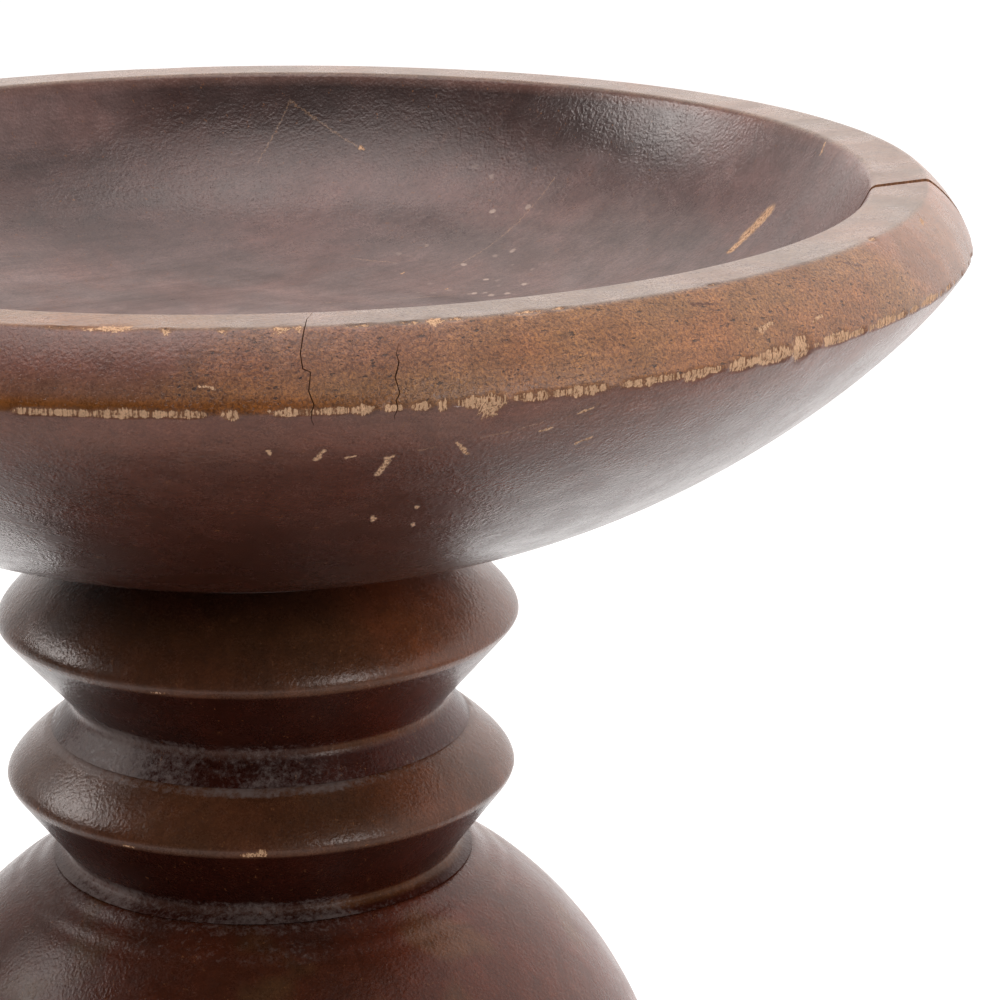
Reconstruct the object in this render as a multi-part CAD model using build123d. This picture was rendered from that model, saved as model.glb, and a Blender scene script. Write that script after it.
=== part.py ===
"""A turned wooden candlestick for a wide pillar candle, as the bench pieces that it comes apart into.

A shallow dish with a bevelled rim stands on two sharp ring knops, a ball, two more ring knops and a
spreading foot. Dish and foot are each glued up from three boards. Every turned piece has a spigot on
top that sits in a recess of the piece above, and a threaded rod on the centre line pulls the stack
together: it screws into an insert under the dish, and a nut and washers hold it in the foot.
A felt disc covers the underside.

Millimetres, +Z up, the origin on the table at the centre of the felt.
"""

from build123d import *
import math
import os

# Dish
rim_radius = 130.0  # at the sharp edge between the bevel and the underside
rim_rise = 11.2  # from that edge up to the flat top of the rim
rim_bevel = 8.2  # how far the bevel leans in over that rise
bevel_bulge = 1.0  # how far the bevel stands out from flat
rim_width = 10.0  # flat top of the rim
dish_depth = 33.3  # from the top of the rim down to the floor
floor_radius = 52.0  # the flat floor that a candle stands on
cove_run = 34.0  # how far the floor's curve runs out level before it turns up
wall_drop = 19.0  # the wall's slope at the rim: this far down
wall_lean = 9.8  # for this far in
floor_cover = 6.3  # wood left between the floor and the insert's pocket
dish_boss_radius = 45.5  # where the underside's curve ends
boss_lip = 0.6  # height of the boss below that curve
boss_run = 47.0  # the underside's slope at the boss: this far out
boss_climb = 10.4  # for this far up
under_drop = 9.3  # the underside's slope at the rim: this far down
under_lean = 5.1  # for this far in

# Boards that the dish and the foot are glued up from
board_width = 136.0  # the middle board
board_turn = 26.5  # angle of the glue lines from +X, in degrees

# Ring knops: the outer ones meet the dish and the foot, the inner ones meet the ball.
# Heights are taken from a knop's joint on the ball's side, and reach is past the sharp edge.
outer_knop_radius = 48.2  # at the sharp edge
outer_edge_height = 20.2
outer_groove_radius = 35.1
outer_groove_height = 5.2
outer_shoulder_height = 14.8  # from the edge to the neck
outer_shoulder_reach = 2.7  # of the point that the shoulder's curve is drawn towards
outer_shoulder_rise = 2.7  # of that point from the edge
outer_neck_radius = 34.8
outer_neck_height = 3.3  # from the shoulder to the seat
outer_seat_radius = 36.5  # the knop's end against the dish or the foot
inner_knop_radius = 47.5
inner_edge_height = 16.2
inner_groove_radius = 36.5
inner_groove_height = 1.7
inner_shoulder_height = 9.7
inner_shoulder_reach = 1.5
inner_shoulder_rise = 2.1
bead_reach = 1.2  # a fine bead at the bottom of each groove stands out this far
bead_height = 1.3
seam_radius = 39.3  # where two knops meet
ball_seam_radius = 39.6  # a knop's end against the ball

# Ball
ball_radius = 78.7
ball_flat_radius = 40.0  # of the flat at each end

# Foot
foot_radius = 108.0
foot_height = 52.0
foot_rise = 11.0  # from the underside up to the sharp edge
foot_bevel = 7.0
foot_boss_radius = 45.5
foot_bulge = 5.0
felt_thickness = 2.0
felt_margin = 3.0  # the felt stays this far in from the foot's underside edge

# Spigots and the centre bore
spigot_radius = 15.0
spigot_height = 8.0
spigot_gap = 0.15  # radial clearance in the recess
spigot_end_gap = 0.5  # the recess is this much deeper than the spigot
rod_radius = 4.9
bore_gap = 0.7  # radial clearance of the rod in the bore

# Tie-rod hardware
thread_gap = 0.05  # radial clearance between the rod and what is screwed on it
insert_wall = 2.55
insert_length = 16.0
insert_headroom = 1.0  # empty pocket above the insert, and the rod stops this far below its top
washer_radius = 15.0
washer_thickness = 2.5
spring_washer_radius = 9.0
spring_washer_thickness = 2.2
spring_washer_slit = 1.2
nut_flats = 17.0
nut_height = 8.0
nut_corner_cut = 1.1  # height of the chamfer on the nut's corners
rod_end = 3.8  # rod that shows past the nut
rod_cover = 3.5  # empty space between the rod's end and the felt
counterbore_gap = 2.0  # radial clearance of the washer in the counterbore

# Worked out from the sizes above
bore_radius = rod_radius + bore_gap
insert_radius = rod_radius + thread_gap + insert_wall
counterbore_radius = washer_radius + counterbore_gap
counterbore_depth = (
    washer_thickness + spring_washer_thickness + nut_height + rod_end + rod_cover
)
recess_depth = spigot_height + spigot_end_gap
pocket_depth = insert_length + insert_headroom
floor_height = recess_depth + pocket_depth + floor_cover  # of the dish's floor above its seat
edge_height = floor_height + dish_depth - rim_rise  # of the rim's sharp edge above its seat
rim_top_outer = rim_radius - rim_bevel
rim_top_inner = rim_top_outer - rim_width
outer_knop_height = (
    outer_edge_height + outer_shoulder_height + outer_neck_height
)
inner_knop_height = inner_edge_height + inner_shoulder_height
ball_half = math.sqrt(ball_radius**2 - ball_flat_radius**2)

foot_z = felt_thickness
lower_outer_z = foot_z + foot_height
lower_inner_z = lower_outer_z + outer_knop_height
ball_z = lower_inner_z + inner_knop_height
upper_inner_z = ball_z + 2 * ball_half
upper_outer_z = upper_inner_z + inner_knop_height
dish_z = upper_outer_z + outer_knop_height

washer_z = foot_z + counterbore_depth - washer_thickness
spring_washer_z = washer_z - spring_washer_thickness
nut_z = spring_washer_z - nut_height
rod_z = nut_z - rod_end
insert_z = dish_z + recess_depth
rod_top = insert_z + insert_length - insert_headroom

far = 4 * (rim_radius + foot_radius)  # longer than anything here, for cutting tools


def bulged(start, end, bulge):
    """The middle point of an arc from start to end that stands out by bulge, to the right of the way."""
    run, rise = end[0] - start[0], end[1] - start[1]
    length = math.hypot(run, rise)
    return (
        (start[0] + end[0]) / 2 + bulge * rise / length,
        (start[1] + end[1]) / 2 - bulge * run / length,
    )


def turned(*edges):
    """The solid that an outline of joined edges, drawn as (radius, height), makes about the Z axis."""
    outline = make_face([Plane.XZ * edge for edge in edges])
    return revolve(outline, Axis.Z)


def rod_shape(radius, low, high):
    """A plain round bar on the centre line, from one height to another."""
    bar = Cylinder(radius, high - low, align=(Align.CENTER, Align.CENTER, Align.MIN))
    return Pos(0, 0, low) * bar


def with_spigot(body, top):
    """body with a spigot on its top face."""
    return body + rod_shape(spigot_radius, top, top + spigot_height)


def with_recess(body, bottom):
    """body with the recess that takes the spigot below it."""
    return body - rod_shape(spigot_radius + spigot_gap, bottom, bottom + recess_depth)


def bored(body):
    """body with the rod's clearance bore right through."""
    return body - rod_shape(bore_radius, -far, far)


def in_boards(body):
    """body sawn along its glue lines into front, middle and rear boards."""
    half = board_width / 2
    slab = Box(far, far, far)
    places = {
        "front": Pos(0, -half - far / 2, 0) * slab,
        "middle": Box(far, board_width, far),
        "rear": Pos(0, half + far / 2, 0) * slab,
    }
    return {name: body & (Rot(0, 0, board_turn) * place) for name, place in places.items()}


def dish():
    """The dish as turned, before it is parted into its boards."""
    seat = dish_z
    floor = seat + floor_height
    edge = (rim_radius, seat + edge_height)
    top = seat + edge_height + rim_rise
    boss = (dish_boss_radius, seat + boss_lip)
    inner = (rim_top_inner, top)
    body = turned(
        Line((0, floor), (floor_radius, floor)),
        Bezier(
            (floor_radius, floor),
            (floor_radius + cove_run, floor),
            (rim_top_inner - wall_lean, top - wall_drop),
            inner,
        ),
        Line(inner, (rim_top_outer, top)),
        ThreePointArc((rim_top_outer, top), bulged(edge, (rim_top_outer, top), bevel_bulge), edge),
        Bezier(
            edge,
            (rim_radius - under_lean, edge[1] - under_drop),
            (dish_boss_radius + boss_run, boss[1] + boss_climb),
            boss,
        ),
        Line(boss, (dish_boss_radius, seat)),
        Line((dish_boss_radius, seat), (0, seat)),
        Line((0, seat), (0, floor)),
    )
    pocket = rod_shape(insert_radius, seat, seat + recess_depth + pocket_depth)
    return with_recess(body, seat) - pocket


def groove_end(neck, groove, low, seam, up):
    """The end of a knop's outline from its groove: the bead and the flare out to the joint."""
    bead_end = (neck + bead_reach / 2, groove - bead_height * up)
    bead_top = (neck + bead_reach, groove - bead_height / 2 * up)
    return [
        ThreePointArc((neck, groove), bead_top, bead_end),
        Line(bead_end, (seam, low)),
        Line((seam, low), (0, low)),
    ]


def outer_knop(low, up):
    """A knop beside the dish or the foot. low is its joint on the ball's side, up is 1 or, hung, -1."""
    edge = (outer_knop_radius, low + outer_edge_height * up)
    groove = low + outer_groove_height * up
    shoulder = (outer_neck_radius, edge[1] + outer_shoulder_height * up)
    drawn = (outer_knop_radius + outer_shoulder_reach, edge[1] + outer_shoulder_rise * up)
    high = low + outer_knop_height * up
    return turned(
        Line((0, low), (0, high)),
        Line((0, high), (outer_seat_radius, high)),
        Line((outer_seat_radius, high), shoulder),
        Bezier(shoulder, drawn, edge),
        Line(edge, (outer_groove_radius, groove)),
        *groove_end(outer_groove_radius, groove, low, seam_radius, up),
    )


def inner_knop(low, up):
    """A knop beside the ball. low is its joint on the ball's side, up is 1 or, hung, -1."""
    edge = (inner_knop_radius, low + inner_edge_height * up)
    groove = low + inner_groove_height * up
    high = low + inner_knop_height * up
    drawn = (inner_knop_radius + inner_shoulder_reach, edge[1] + inner_shoulder_rise * up)
    return turned(
        Line((0, low), (0, high)),
        Line((0, high), (seam_radius, high)),
        Bezier((seam_radius, high), drawn, edge),
        Line(edge, (inner_groove_radius, groove)),
        *groove_end(inner_groove_radius, groove, low, ball_seam_radius, up),
    )


def jointed(body, low, high):
    """A turned piece finished with its recess below, its spigot above and the bore."""
    return bored(with_spigot(with_recess(body, low), high))


def ball():
    """The ball with a flat at each end."""
    low, high = ball_z, ball_z + 2 * ball_half
    middle = (ball_radius, ball_z + ball_half)
    body = turned(
        Line((0, low), (ball_flat_radius, low)),
        ThreePointArc((ball_flat_radius, low), middle, (ball_flat_radius, high)),
        Line((ball_flat_radius, high), (0, high)),
        Line((0, high), (0, low)),
    )
    return jointed(body, low, high)


def foot():
    """The foot as turned, before it is parted into its boards."""
    high = foot_z + foot_height
    edge = (foot_radius, foot_z + foot_rise)
    boss = (foot_boss_radius, high - boss_lip)
    base = (foot_radius - foot_bevel, foot_z)
    body = turned(
        Line((0, foot_z), base),
        Line(base, edge),
        ThreePointArc(edge, bulged(edge, boss, foot_bulge), boss),
        Line(boss, (foot_boss_radius, high)),
        Line((foot_boss_radius, high), (0, high)),
        Line((0, high), (0, foot_z)),
    )
    counterbore = rod_shape(counterbore_radius, foot_z, foot_z + counterbore_depth)
    return bored(with_spigot(body, high)) - counterbore


def felt_disc():
    """The felt under the foot."""
    return rod_shape(foot_radius - foot_bevel - felt_margin, 0, felt_thickness)


def ring(radius, low, thickness):
    """A flat ring that goes over the rod."""
    gap = thread_gap + rod_radius
    return rod_shape(radius, low, low + thickness) - rod_shape(gap, -far, far)


def spring_washer():
    """The split lock washer, pressed flat."""
    slit = Pos(spring_washer_radius, 0, 0) * Box(2 * spring_washer_radius, spring_washer_slit, far)
    return ring(spring_washer_radius, spring_washer_z, spring_washer_thickness) - slit


def hex_nut():
    """A hexagon nut with its corners turned off at both ends."""
    corner = nut_flats / math.sqrt(3)
    flat = nut_flats / 2
    blank = Pos(0, 0, nut_z) * extrude(RegularPolygon(corner, 6), nut_height)
    low, high = nut_z, nut_z + nut_height
    trimmed = turned(
        Line((0, low), (flat, low)),
        Line((flat, low), (corner, low + nut_corner_cut)),
        Line((corner, low + nut_corner_cut), (corner, high - nut_corner_cut)),
        Line((corner, high - nut_corner_cut), (flat, high)),
        Line((flat, high), (0, high)),
        Line((0, high), (0, low)),
    )
    return (blank & trimmed) - rod_shape(rod_radius + thread_gap, -far, far)


pieces = {f"dish_board_{place}": board for place, board in in_boards(dish()).items()}
pieces |= {f"foot_board_{place}": board for place, board in in_boards(foot()).items()}
pieces["ball"] = ball()
pieces["knop_under_dish"] = jointed(outer_knop(upper_outer_z, 1), upper_outer_z, dish_z)
pieces["knop_above_ball"] = jointed(inner_knop(upper_inner_z, 1), upper_inner_z, upper_outer_z)
pieces["knop_below_ball"] = jointed(inner_knop(ball_z, -1), lower_inner_z, ball_z)
pieces["knop_above_foot"] = jointed(outer_knop(lower_inner_z, -1), lower_outer_z, lower_inner_z)
pieces["felt_disc"] = felt_disc()
pieces["tie_rod"] = rod_shape(rod_radius, rod_z, rod_top)
pieces["threaded_insert"] = ring(insert_radius, insert_z, insert_length)
pieces["flat_washer"] = ring(washer_radius, washer_z, washer_thickness)
pieces["spring_washer"] = spring_washer()
pieces["hex_nut"] = hex_nut()

os.makedirs("parts", exist_ok=True)
for name, piece in pieces.items():
    export_step(piece, f"parts/{name}.step")
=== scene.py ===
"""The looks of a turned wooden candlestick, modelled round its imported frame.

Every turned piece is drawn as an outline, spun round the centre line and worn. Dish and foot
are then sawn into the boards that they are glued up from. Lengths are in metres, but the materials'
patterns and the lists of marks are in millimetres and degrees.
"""

import math

import bpy
import numpy as np
from bpy.props import FloatProperty, FloatVectorProperty, PointerProperty
from mathutils import Matrix, Vector, noise


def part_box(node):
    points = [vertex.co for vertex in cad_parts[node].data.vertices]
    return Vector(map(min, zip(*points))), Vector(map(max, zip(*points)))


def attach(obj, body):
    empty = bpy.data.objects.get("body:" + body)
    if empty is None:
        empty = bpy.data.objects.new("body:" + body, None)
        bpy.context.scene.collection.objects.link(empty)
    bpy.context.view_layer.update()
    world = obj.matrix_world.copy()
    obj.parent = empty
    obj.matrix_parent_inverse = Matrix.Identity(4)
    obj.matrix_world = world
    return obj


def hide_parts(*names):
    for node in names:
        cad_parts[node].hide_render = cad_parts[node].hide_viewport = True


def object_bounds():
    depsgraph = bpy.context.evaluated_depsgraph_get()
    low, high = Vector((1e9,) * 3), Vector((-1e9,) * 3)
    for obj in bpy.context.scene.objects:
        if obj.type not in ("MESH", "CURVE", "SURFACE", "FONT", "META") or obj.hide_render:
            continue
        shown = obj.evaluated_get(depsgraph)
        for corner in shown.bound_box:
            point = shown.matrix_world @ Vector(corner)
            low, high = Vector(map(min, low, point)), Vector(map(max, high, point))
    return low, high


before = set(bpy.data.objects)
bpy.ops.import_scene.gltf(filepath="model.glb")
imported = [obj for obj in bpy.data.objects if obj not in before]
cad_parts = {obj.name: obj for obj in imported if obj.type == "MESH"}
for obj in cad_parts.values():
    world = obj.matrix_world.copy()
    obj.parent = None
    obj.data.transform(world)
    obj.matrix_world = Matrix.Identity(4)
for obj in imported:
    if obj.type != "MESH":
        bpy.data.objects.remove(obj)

CAD_LOW, CAD_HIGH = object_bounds()
MM = 0.001

bl_info = {
    "name": "Turned candlestick",
    "version": (1, 0, 0),
    "blender": (4, 5, 0),
    "location": "3D View > Sidebar > Candlestick",
    "description": "Models and finishes a turned wooden candlestick round its frame",
    "category": "Add Mesh",
}

# How many steps each piece is turned in, and how far its surface is then moved in at most
DISH_STEPS, DISH_WOBBLE = 1200, 0.10 * MM
KNOP_STEPS, KNOP_WOBBLE = 720, 0.12 * MM
BALL_STEPS, BALL_WOBBLE = 480, 0.30 * MM
FOOT_STEPS, FOOT_WOBBLE = 960, 0.12 * MM
FELT_STEPS = 360
BALL_POINTS = 190  # along the ball's outline
SHARP = 40  # degrees, the least angle that is shaded as an edge
SAME_PLACE = 2e-6  # metres, vertices nearer than this are one

# Where each piece's wood was taken from the plank, in millimetres
DISH_GRAIN, BALL_GRAIN, FOOT_GRAIN = (3.0, 7.0, 1.0), (60.0, 20.0, 9.0), (33.0, 71.0, 4.0)

FELT_COLOUR = (0.035, 0.031, 0.029)
ZINC_COLOUR = (0.56, 0.57, 0.58)
BRASS_COLOUR = (0.62, 0.42, 0.18)

DISH_BOARDS = ("dish_board_front", "dish_board_middle", "dish_board_rear")
FOOT_BOARDS = ("foot_board_front", "foot_board_middle", "foot_board_rear")
DISH_LOW, DISH_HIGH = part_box("dish_board_middle")
FOOT_LOW, FOOT_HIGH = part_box("foot_board_middle")
BALL_LOW, BALL_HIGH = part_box("ball")
FELT_LOW, FELT_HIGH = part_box("felt_disc")


def length(name, millimetres, description):
    """A property for a length, with its default given in millimetres."""
    return FloatProperty(
        name=name, description=description, default=millimetres * MM, unit="LENGTH", precision=5
    )


def angle(name, degrees, description):
    """A property for an angle, with its default given in degrees."""
    return FloatProperty(
        name=name, description=description, default=math.radians(degrees), subtype="ANGLE"
    )


def tint(name, colour, description):
    """A property for a colour."""
    return FloatVectorProperty(
        name=name, description=description, default=colour, subtype="COLOR", size=3, min=0, max=1
    )


class CandlestickDish(bpy.types.PropertyGroup):
    """Sizes of the dish and the boards that it is glued up from."""

    rim_rise: length("Rim rise", 11.2, "From the sharp edge up to the flat rim")
    rim_bevel: length("Rim bevel", 8.2, "How far the bevel leans in over that rise")
    bevel_bulge: length("Bevel bulge", 1.0, "How far the bevel stands out from flat")
    rim_width: length("Rim width", 10.0, "Flat top of the rim")
    depth: length("Depth", 33.3, "From the rim down to the floor")
    floor_radius: length("Floor radius", 52.0, "The flat floor")
    cove_run: length("Cove run", 34.0, "How far the floor's curve runs out level")
    wall_drop: length("Wall drop", 19.0, "The wall's slope at the rim, this far down")
    wall_lean: length("Wall lean", 9.8, "The wall's slope at the rim, this far in")
    boss_radius: length("Boss radius", 45.5, "Where the underside's curve ends")
    boss_lip: length("Boss lip", 0.6, "Height of the boss below that curve")
    boss_run: length("Boss run", 47.0, "The underside's slope at the boss, this far out")
    boss_climb: length("Boss climb", 10.4, "The underside's slope at the boss, this far up")
    under_drop: length("Under drop", 9.3, "The underside's slope at the rim, this far down")
    under_lean: length("Under lean", 5.1, "The underside's slope at the rim, this far in")
    board_width: length("Board width", 136.0, "Width of the middle board")
    board_turn: angle("Board turn", 26.5, "Angle of the glue lines from +X")
    brown_width: length("Brown width", 212.0, "Width of the brown wood between the amber edges")
    joint_gap: length("Joint gap", 2.6, "Width of the opened glue line at the rim")
    joint_end: length("Joint end", -20.0, "Where along the glue line it starts to open")


class CandlestickStem(bpy.types.PropertyGroup):
    """Sizes of the ring knops, the ball, their spigots and the bore."""

    outer_radius: length("Outer knop radius", 48.2, "Outer knop at its sharp edge")
    outer_edge: length("Outer edge height", 20.2, "Outer knop's edge above its joint")
    outer_groove_radius: length("Outer groove radius", 35.1, "Outer knop at its groove")
    outer_groove: length("Outer groove height", 5.2, "Outer knop's groove above its joint")
    outer_shoulder: length("Outer shoulder height", 14.8, "From the edge to the neck")
    outer_reach: length("Outer shoulder reach", 2.7, "Swell of the shoulder past the edge")
    outer_rise: length("Outer shoulder rise", 2.7, "Height of that swell above the edge")
    outer_neck: length("Outer neck radius", 34.8, "Neck beside the dish or the foot")
    outer_seat: length("Outer seat radius", 36.5, "Knop's end at the dish or the foot")
    inner_radius: length("Inner knop radius", 47.5, "Inner knop at its sharp edge")
    inner_edge: length("Inner edge height", 16.2, "Inner knop's edge above its joint")
    inner_groove_radius: length("Inner groove radius", 36.5, "Inner knop at its groove")
    inner_groove: length("Inner groove height", 1.7, "Inner knop's groove above its joint")
    inner_reach: length("Inner shoulder reach", 1.5, "Swell of the shoulder past the edge")
    inner_rise: length("Inner shoulder rise", 2.1, "Height of that swell above the edge")
    seam_radius: length("Seam radius", 39.3, "Where two knops meet")
    ball_seam_radius: length("Ball seam radius", 39.6, "Knop's end at the ball")
    ball_flat_radius: length("Ball flat radius", 40.0, "Flat at each end of the ball")
    spigot_radius: length("Spigot radius", 15.0, "Spigot on top of each piece")
    spigot_height: length("Spigot height", 8.0, "Height of that spigot")
    recess_gap: length("Recess gap", 0.15, "Clearance round a spigot")
    recess_depth: length("Recess depth", 8.5, "Depth of the recess over a spigot")
    bore_radius: length("Bore radius", 5.6, "Bore for the tie rod")
    insert_radius: length("Insert radius", 7.5, "Pocket for the insert")
    insert_depth: length("Insert depth", 17.0, "Depth of that pocket")
    edge_softness: length("Edge softness", 0.8, "How far each sharp edge is rubbed round")
    groove_softness: length("Groove softness", 1.8, "How far each groove is rounded out")


class CandlestickFoot(bpy.types.PropertyGroup):
    """Sizes of the foot and its felt."""

    rise: length("Rise", 11.0, "From the underside up to the sharp edge")
    bevel: length("Bevel", 7.0, "How far the bevel leans in below that edge")
    boss_radius: length("Boss radius", 45.5, "Where the curve of the top ends")
    boss_lip: length("Boss lip", 0.6, "Height of the boss above that curve")
    bulge: length("Bulge", 5.0, "How far the top stands out from a straight cone")
    counterbore_radius: length("Counterbore radius", 17.0, "Pocket for the nut and washers")
    counterbore_depth: length("Counterbore depth", 20.0, "Depth of that pocket")


class CandlestickWood(bpy.types.PropertyGroup):
    """Colours of the stain, the wood, what has gathered on it, and the painted shade."""

    inside: tint("Inside", (0.138, 0.084, 0.080), "Grey brown stain inside the dish")
    rim: tint("Rim", (0.222, 0.158, 0.124), "Stain rubbed thin on the flat rim")
    amber: tint("Amber", (0.290, 0.140, 0.066), "Golden wood of the bevel's outer boards")
    brown: tint("Brown", (0.235, 0.112, 0.066), "Browner wood of the boards inside them")
    under: tint("Underside", (0.100, 0.038, 0.027), "Stain under the dish, near its edge")
    # painted shade: a near-black stain laid where shade falls, under the dish, on the knops' lower cones and
    # necks, at the ball's ends and up the foot
    painted_shade: tint("Deep stain", (0.030, 0.0065, 0.0035), "Stain where it lies thickest")
    knop: tint("Knop", (0.082, 0.032, 0.0145), "Red brown stain of knops and ball")
    # also used for the painted highlight along the knops' grooves
    worn: tint("Worn edge", (0.150, 0.078, 0.056), "Stain rubbed thin along an edge")
    bare: tint("Bare wood", (0.790, 0.510, 0.310), "Pale wood where the stain is chipped off")
    tear: tint("Torn wood", (0.230, 0.100, 0.042), "Dark splits in bare wood")
    pore: tint("Pore", (0.030, 0.026, 0.030), "Inside of a pore")
    dust: tint("Dust", (0.200, 0.165, 0.155), "Dust and old wax in the grooves")
    glue: tint("Glue line", (0.260, 0.120, 0.055), "Old glue on a joint that has opened")


class CandlestickStage(bpy.types.PropertyGroup):
    """Camera, floor and lamps."""

    camera_distance: length("Camera distance", 642.2, "In front of the centre line")
    camera_height: length("Camera height", 133.5, "Above the dish's sharp edge")
    camera_yaw: angle("Camera yaw", 4.027, "Turn to the right")
    camera_pitch: angle("Camera pitch", 16.009, "Tilt down")
    camera_roll: angle("Camera roll", -0.223, "Turn about the view")
    lens: FloatProperty(
        name="Lens", description="Focal length on a 36 mm sensor", default=129.73, unit="CAMERA"
    )
    floor_size: FloatProperty(
        name="Floor size", description="Side of the floor", default=60.0, unit="LENGTH"
    )
    back_light: FloatProperty(
        name="Back light", description="Strength of the light tent behind the piece", default=1.68
    )
    front_light: FloatProperty(
        name="Front light", description="Strength of the room in front of the piece", default=0.07
    )
    light_tint: tint("Light tint", (1.0, 0.92, 0.89), "Warm tint of lamps and light tent")


# Outlines, as (radius, height) points

def line(start, end, pace):
    """Points from start to end, both included, about pace apart."""
    count = max(1, round(math.dist(start, end) / pace))
    return [tuple(Vector(start).lerp(Vector(end), i / count)) for i in range(count + 1)]


def bezier(points, pace):
    """Points on a Bezier curve with those two ends and one or two handles, about pace apart."""
    count = max(2, round(sum(math.dist(a, b) for a, b in zip(points, points[1:])) / pace))
    run = []
    for i in range(count + 1):
        rest = [Vector(p) for p in points]
        while len(rest) > 1:
            rest = [a.lerp(b, i / count) for a, b in zip(rest, rest[1:])]
        run.append(tuple(rest[0]))
    return run


def arc(start, end, bulge, pace):
    """Points on an arc from start to end that stands out by bulge to the right of the way."""
    chord = Vector(end) - Vector(start)
    across = Vector((chord.y, -chord.x)).normalized()
    half = chord.length / 2
    radius = (half * half + bulge * bulge) / (2 * bulge)
    centre = Vector(start) + chord / 2 - across * (radius - bulge)
    swing = math.asin(half / radius)
    count = max(3, round(2 * swing * radius / pace))
    along = chord.normalized()
    run = []
    for i in range(count + 1):
        turn = swing * (2 * i / count - 1)
        run.append(tuple(centre + along * radius * math.sin(turn) + across * radius * math.cos(turn)))
    return run


def joined(*runs, softness=0.0, steps=5):
    """The runs end to end, with the corner between two runs rubbed round by softness."""
    outline = list(runs[0])
    for run in runs[1:]:
        corner = Vector(run[0])
        before = [p for p in outline if (Vector(p) - corner).length > softness]
        after = [p for p in run if (Vector(p) - corner).length > softness]
        if softness and before and after:
            start = corner + (Vector(before[-1]) - corner).normalized() * softness
            end = corner + (Vector(after[0]) - corner).normalized() * softness
            turn = [
                tuple(start.lerp(corner, i / steps).lerp(corner.lerp(end, i / steps), i / steps))
                for i in range(steps + 1)
            ]
            outline = before + turn + after
        else:
            outline = outline[:-1] + list(run)
    return outline


# Modelling

def leave_only(piece):
    """Makes piece the one selected object, in object mode."""
    if bpy.context.mode != "OBJECT":
        bpy.ops.object.mode_set(mode="OBJECT")
    bpy.ops.object.select_all(action="DESELECT")
    piece.select_set(True)
    bpy.context.view_layer.objects.active = piece


def point_mesh(name, place):
    """An object with one vertex at place, selected in edit mode."""
    bpy.ops.object.select_all(action="DESELECT")
    bpy.ops.mesh.primitive_plane_add(size=MM, location=place)
    piece = bpy.context.object
    piece.name = name
    bpy.ops.object.transform_apply(location=True)
    bpy.ops.object.mode_set(mode="EDIT")
    bpy.ops.mesh.select_all(action="SELECT")
    bpy.ops.mesh.merge(type="CENTER")
    return piece


def turned(name, outline, steps):
    """A closed solid made by spinning outline round the centre line."""
    piece = point_mesh(name, (outline[0][0], 0, outline[0][1]))
    for here, there in zip(outline, outline[1:]):
        step = (there[0] - here[0], 0, there[1] - here[1])
        bpy.ops.mesh.extrude_vertices_move(TRANSFORM_OT_translate={"value": step})
    bpy.ops.object.mode_set(mode="OBJECT")
    bpy.ops.object.modifier_add(type="SCREW")
    lathe = piece.modifiers[-1]
    lathe.axis = "Z"
    lathe.angle = math.tau
    lathe.steps = lathe.render_steps = steps
    lathe.use_merge_vertices = True
    lathe.merge_threshold = SAME_PLACE
    bpy.ops.object.modifier_apply(modifier=lathe.name)
    bpy.ops.object.mode_set(mode="EDIT")
    bpy.ops.mesh.select_all(action="SELECT")
    bpy.ops.mesh.remove_doubles(threshold=SAME_PLACE)
    bpy.ops.mesh.normals_make_consistent(inside=False)
    bpy.ops.object.mode_set(mode="OBJECT")
    return piece


def board_cut(piece, offset, turn, keep_front, pivot=0.0, opening=0.0):
    """Saws piece along a glue line offset behind the centre line and keeps the front or the rear.

    opening swings the cut about the point pivot along the line, so that the joint gapes past it."""
    along = Vector((math.cos(turn), math.sin(turn), 0))
    across = Vector((-math.sin(turn), math.cos(turn), 0))
    swung = Matrix.Rotation(opening, 3, "Z") @ across
    leave_only(piece)
    bpy.ops.object.mode_set(mode="EDIT")
    bpy.ops.mesh.select_all(action="SELECT")
    bpy.ops.mesh.bisect(
        plane_co=across * offset + along * pivot, plane_no=swung, use_fill=True,
        clear_outer=keep_front, clear_inner=not keep_front, threshold=1e-6,
    )
    bpy.ops.object.mode_set(mode="OBJECT")


def copied(piece, name):
    """A copy of piece with a mesh of its own."""
    leave_only(piece)
    bpy.ops.object.duplicate()
    twin = bpy.context.object
    twin.name = name
    return twin


def cylinder_point(degrees, radius, height):
    """The point at that angle round the centre line."""
    turn = math.radians(degrees)
    return Vector((radius * math.cos(turn), radius * math.sin(turn), height))


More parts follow.
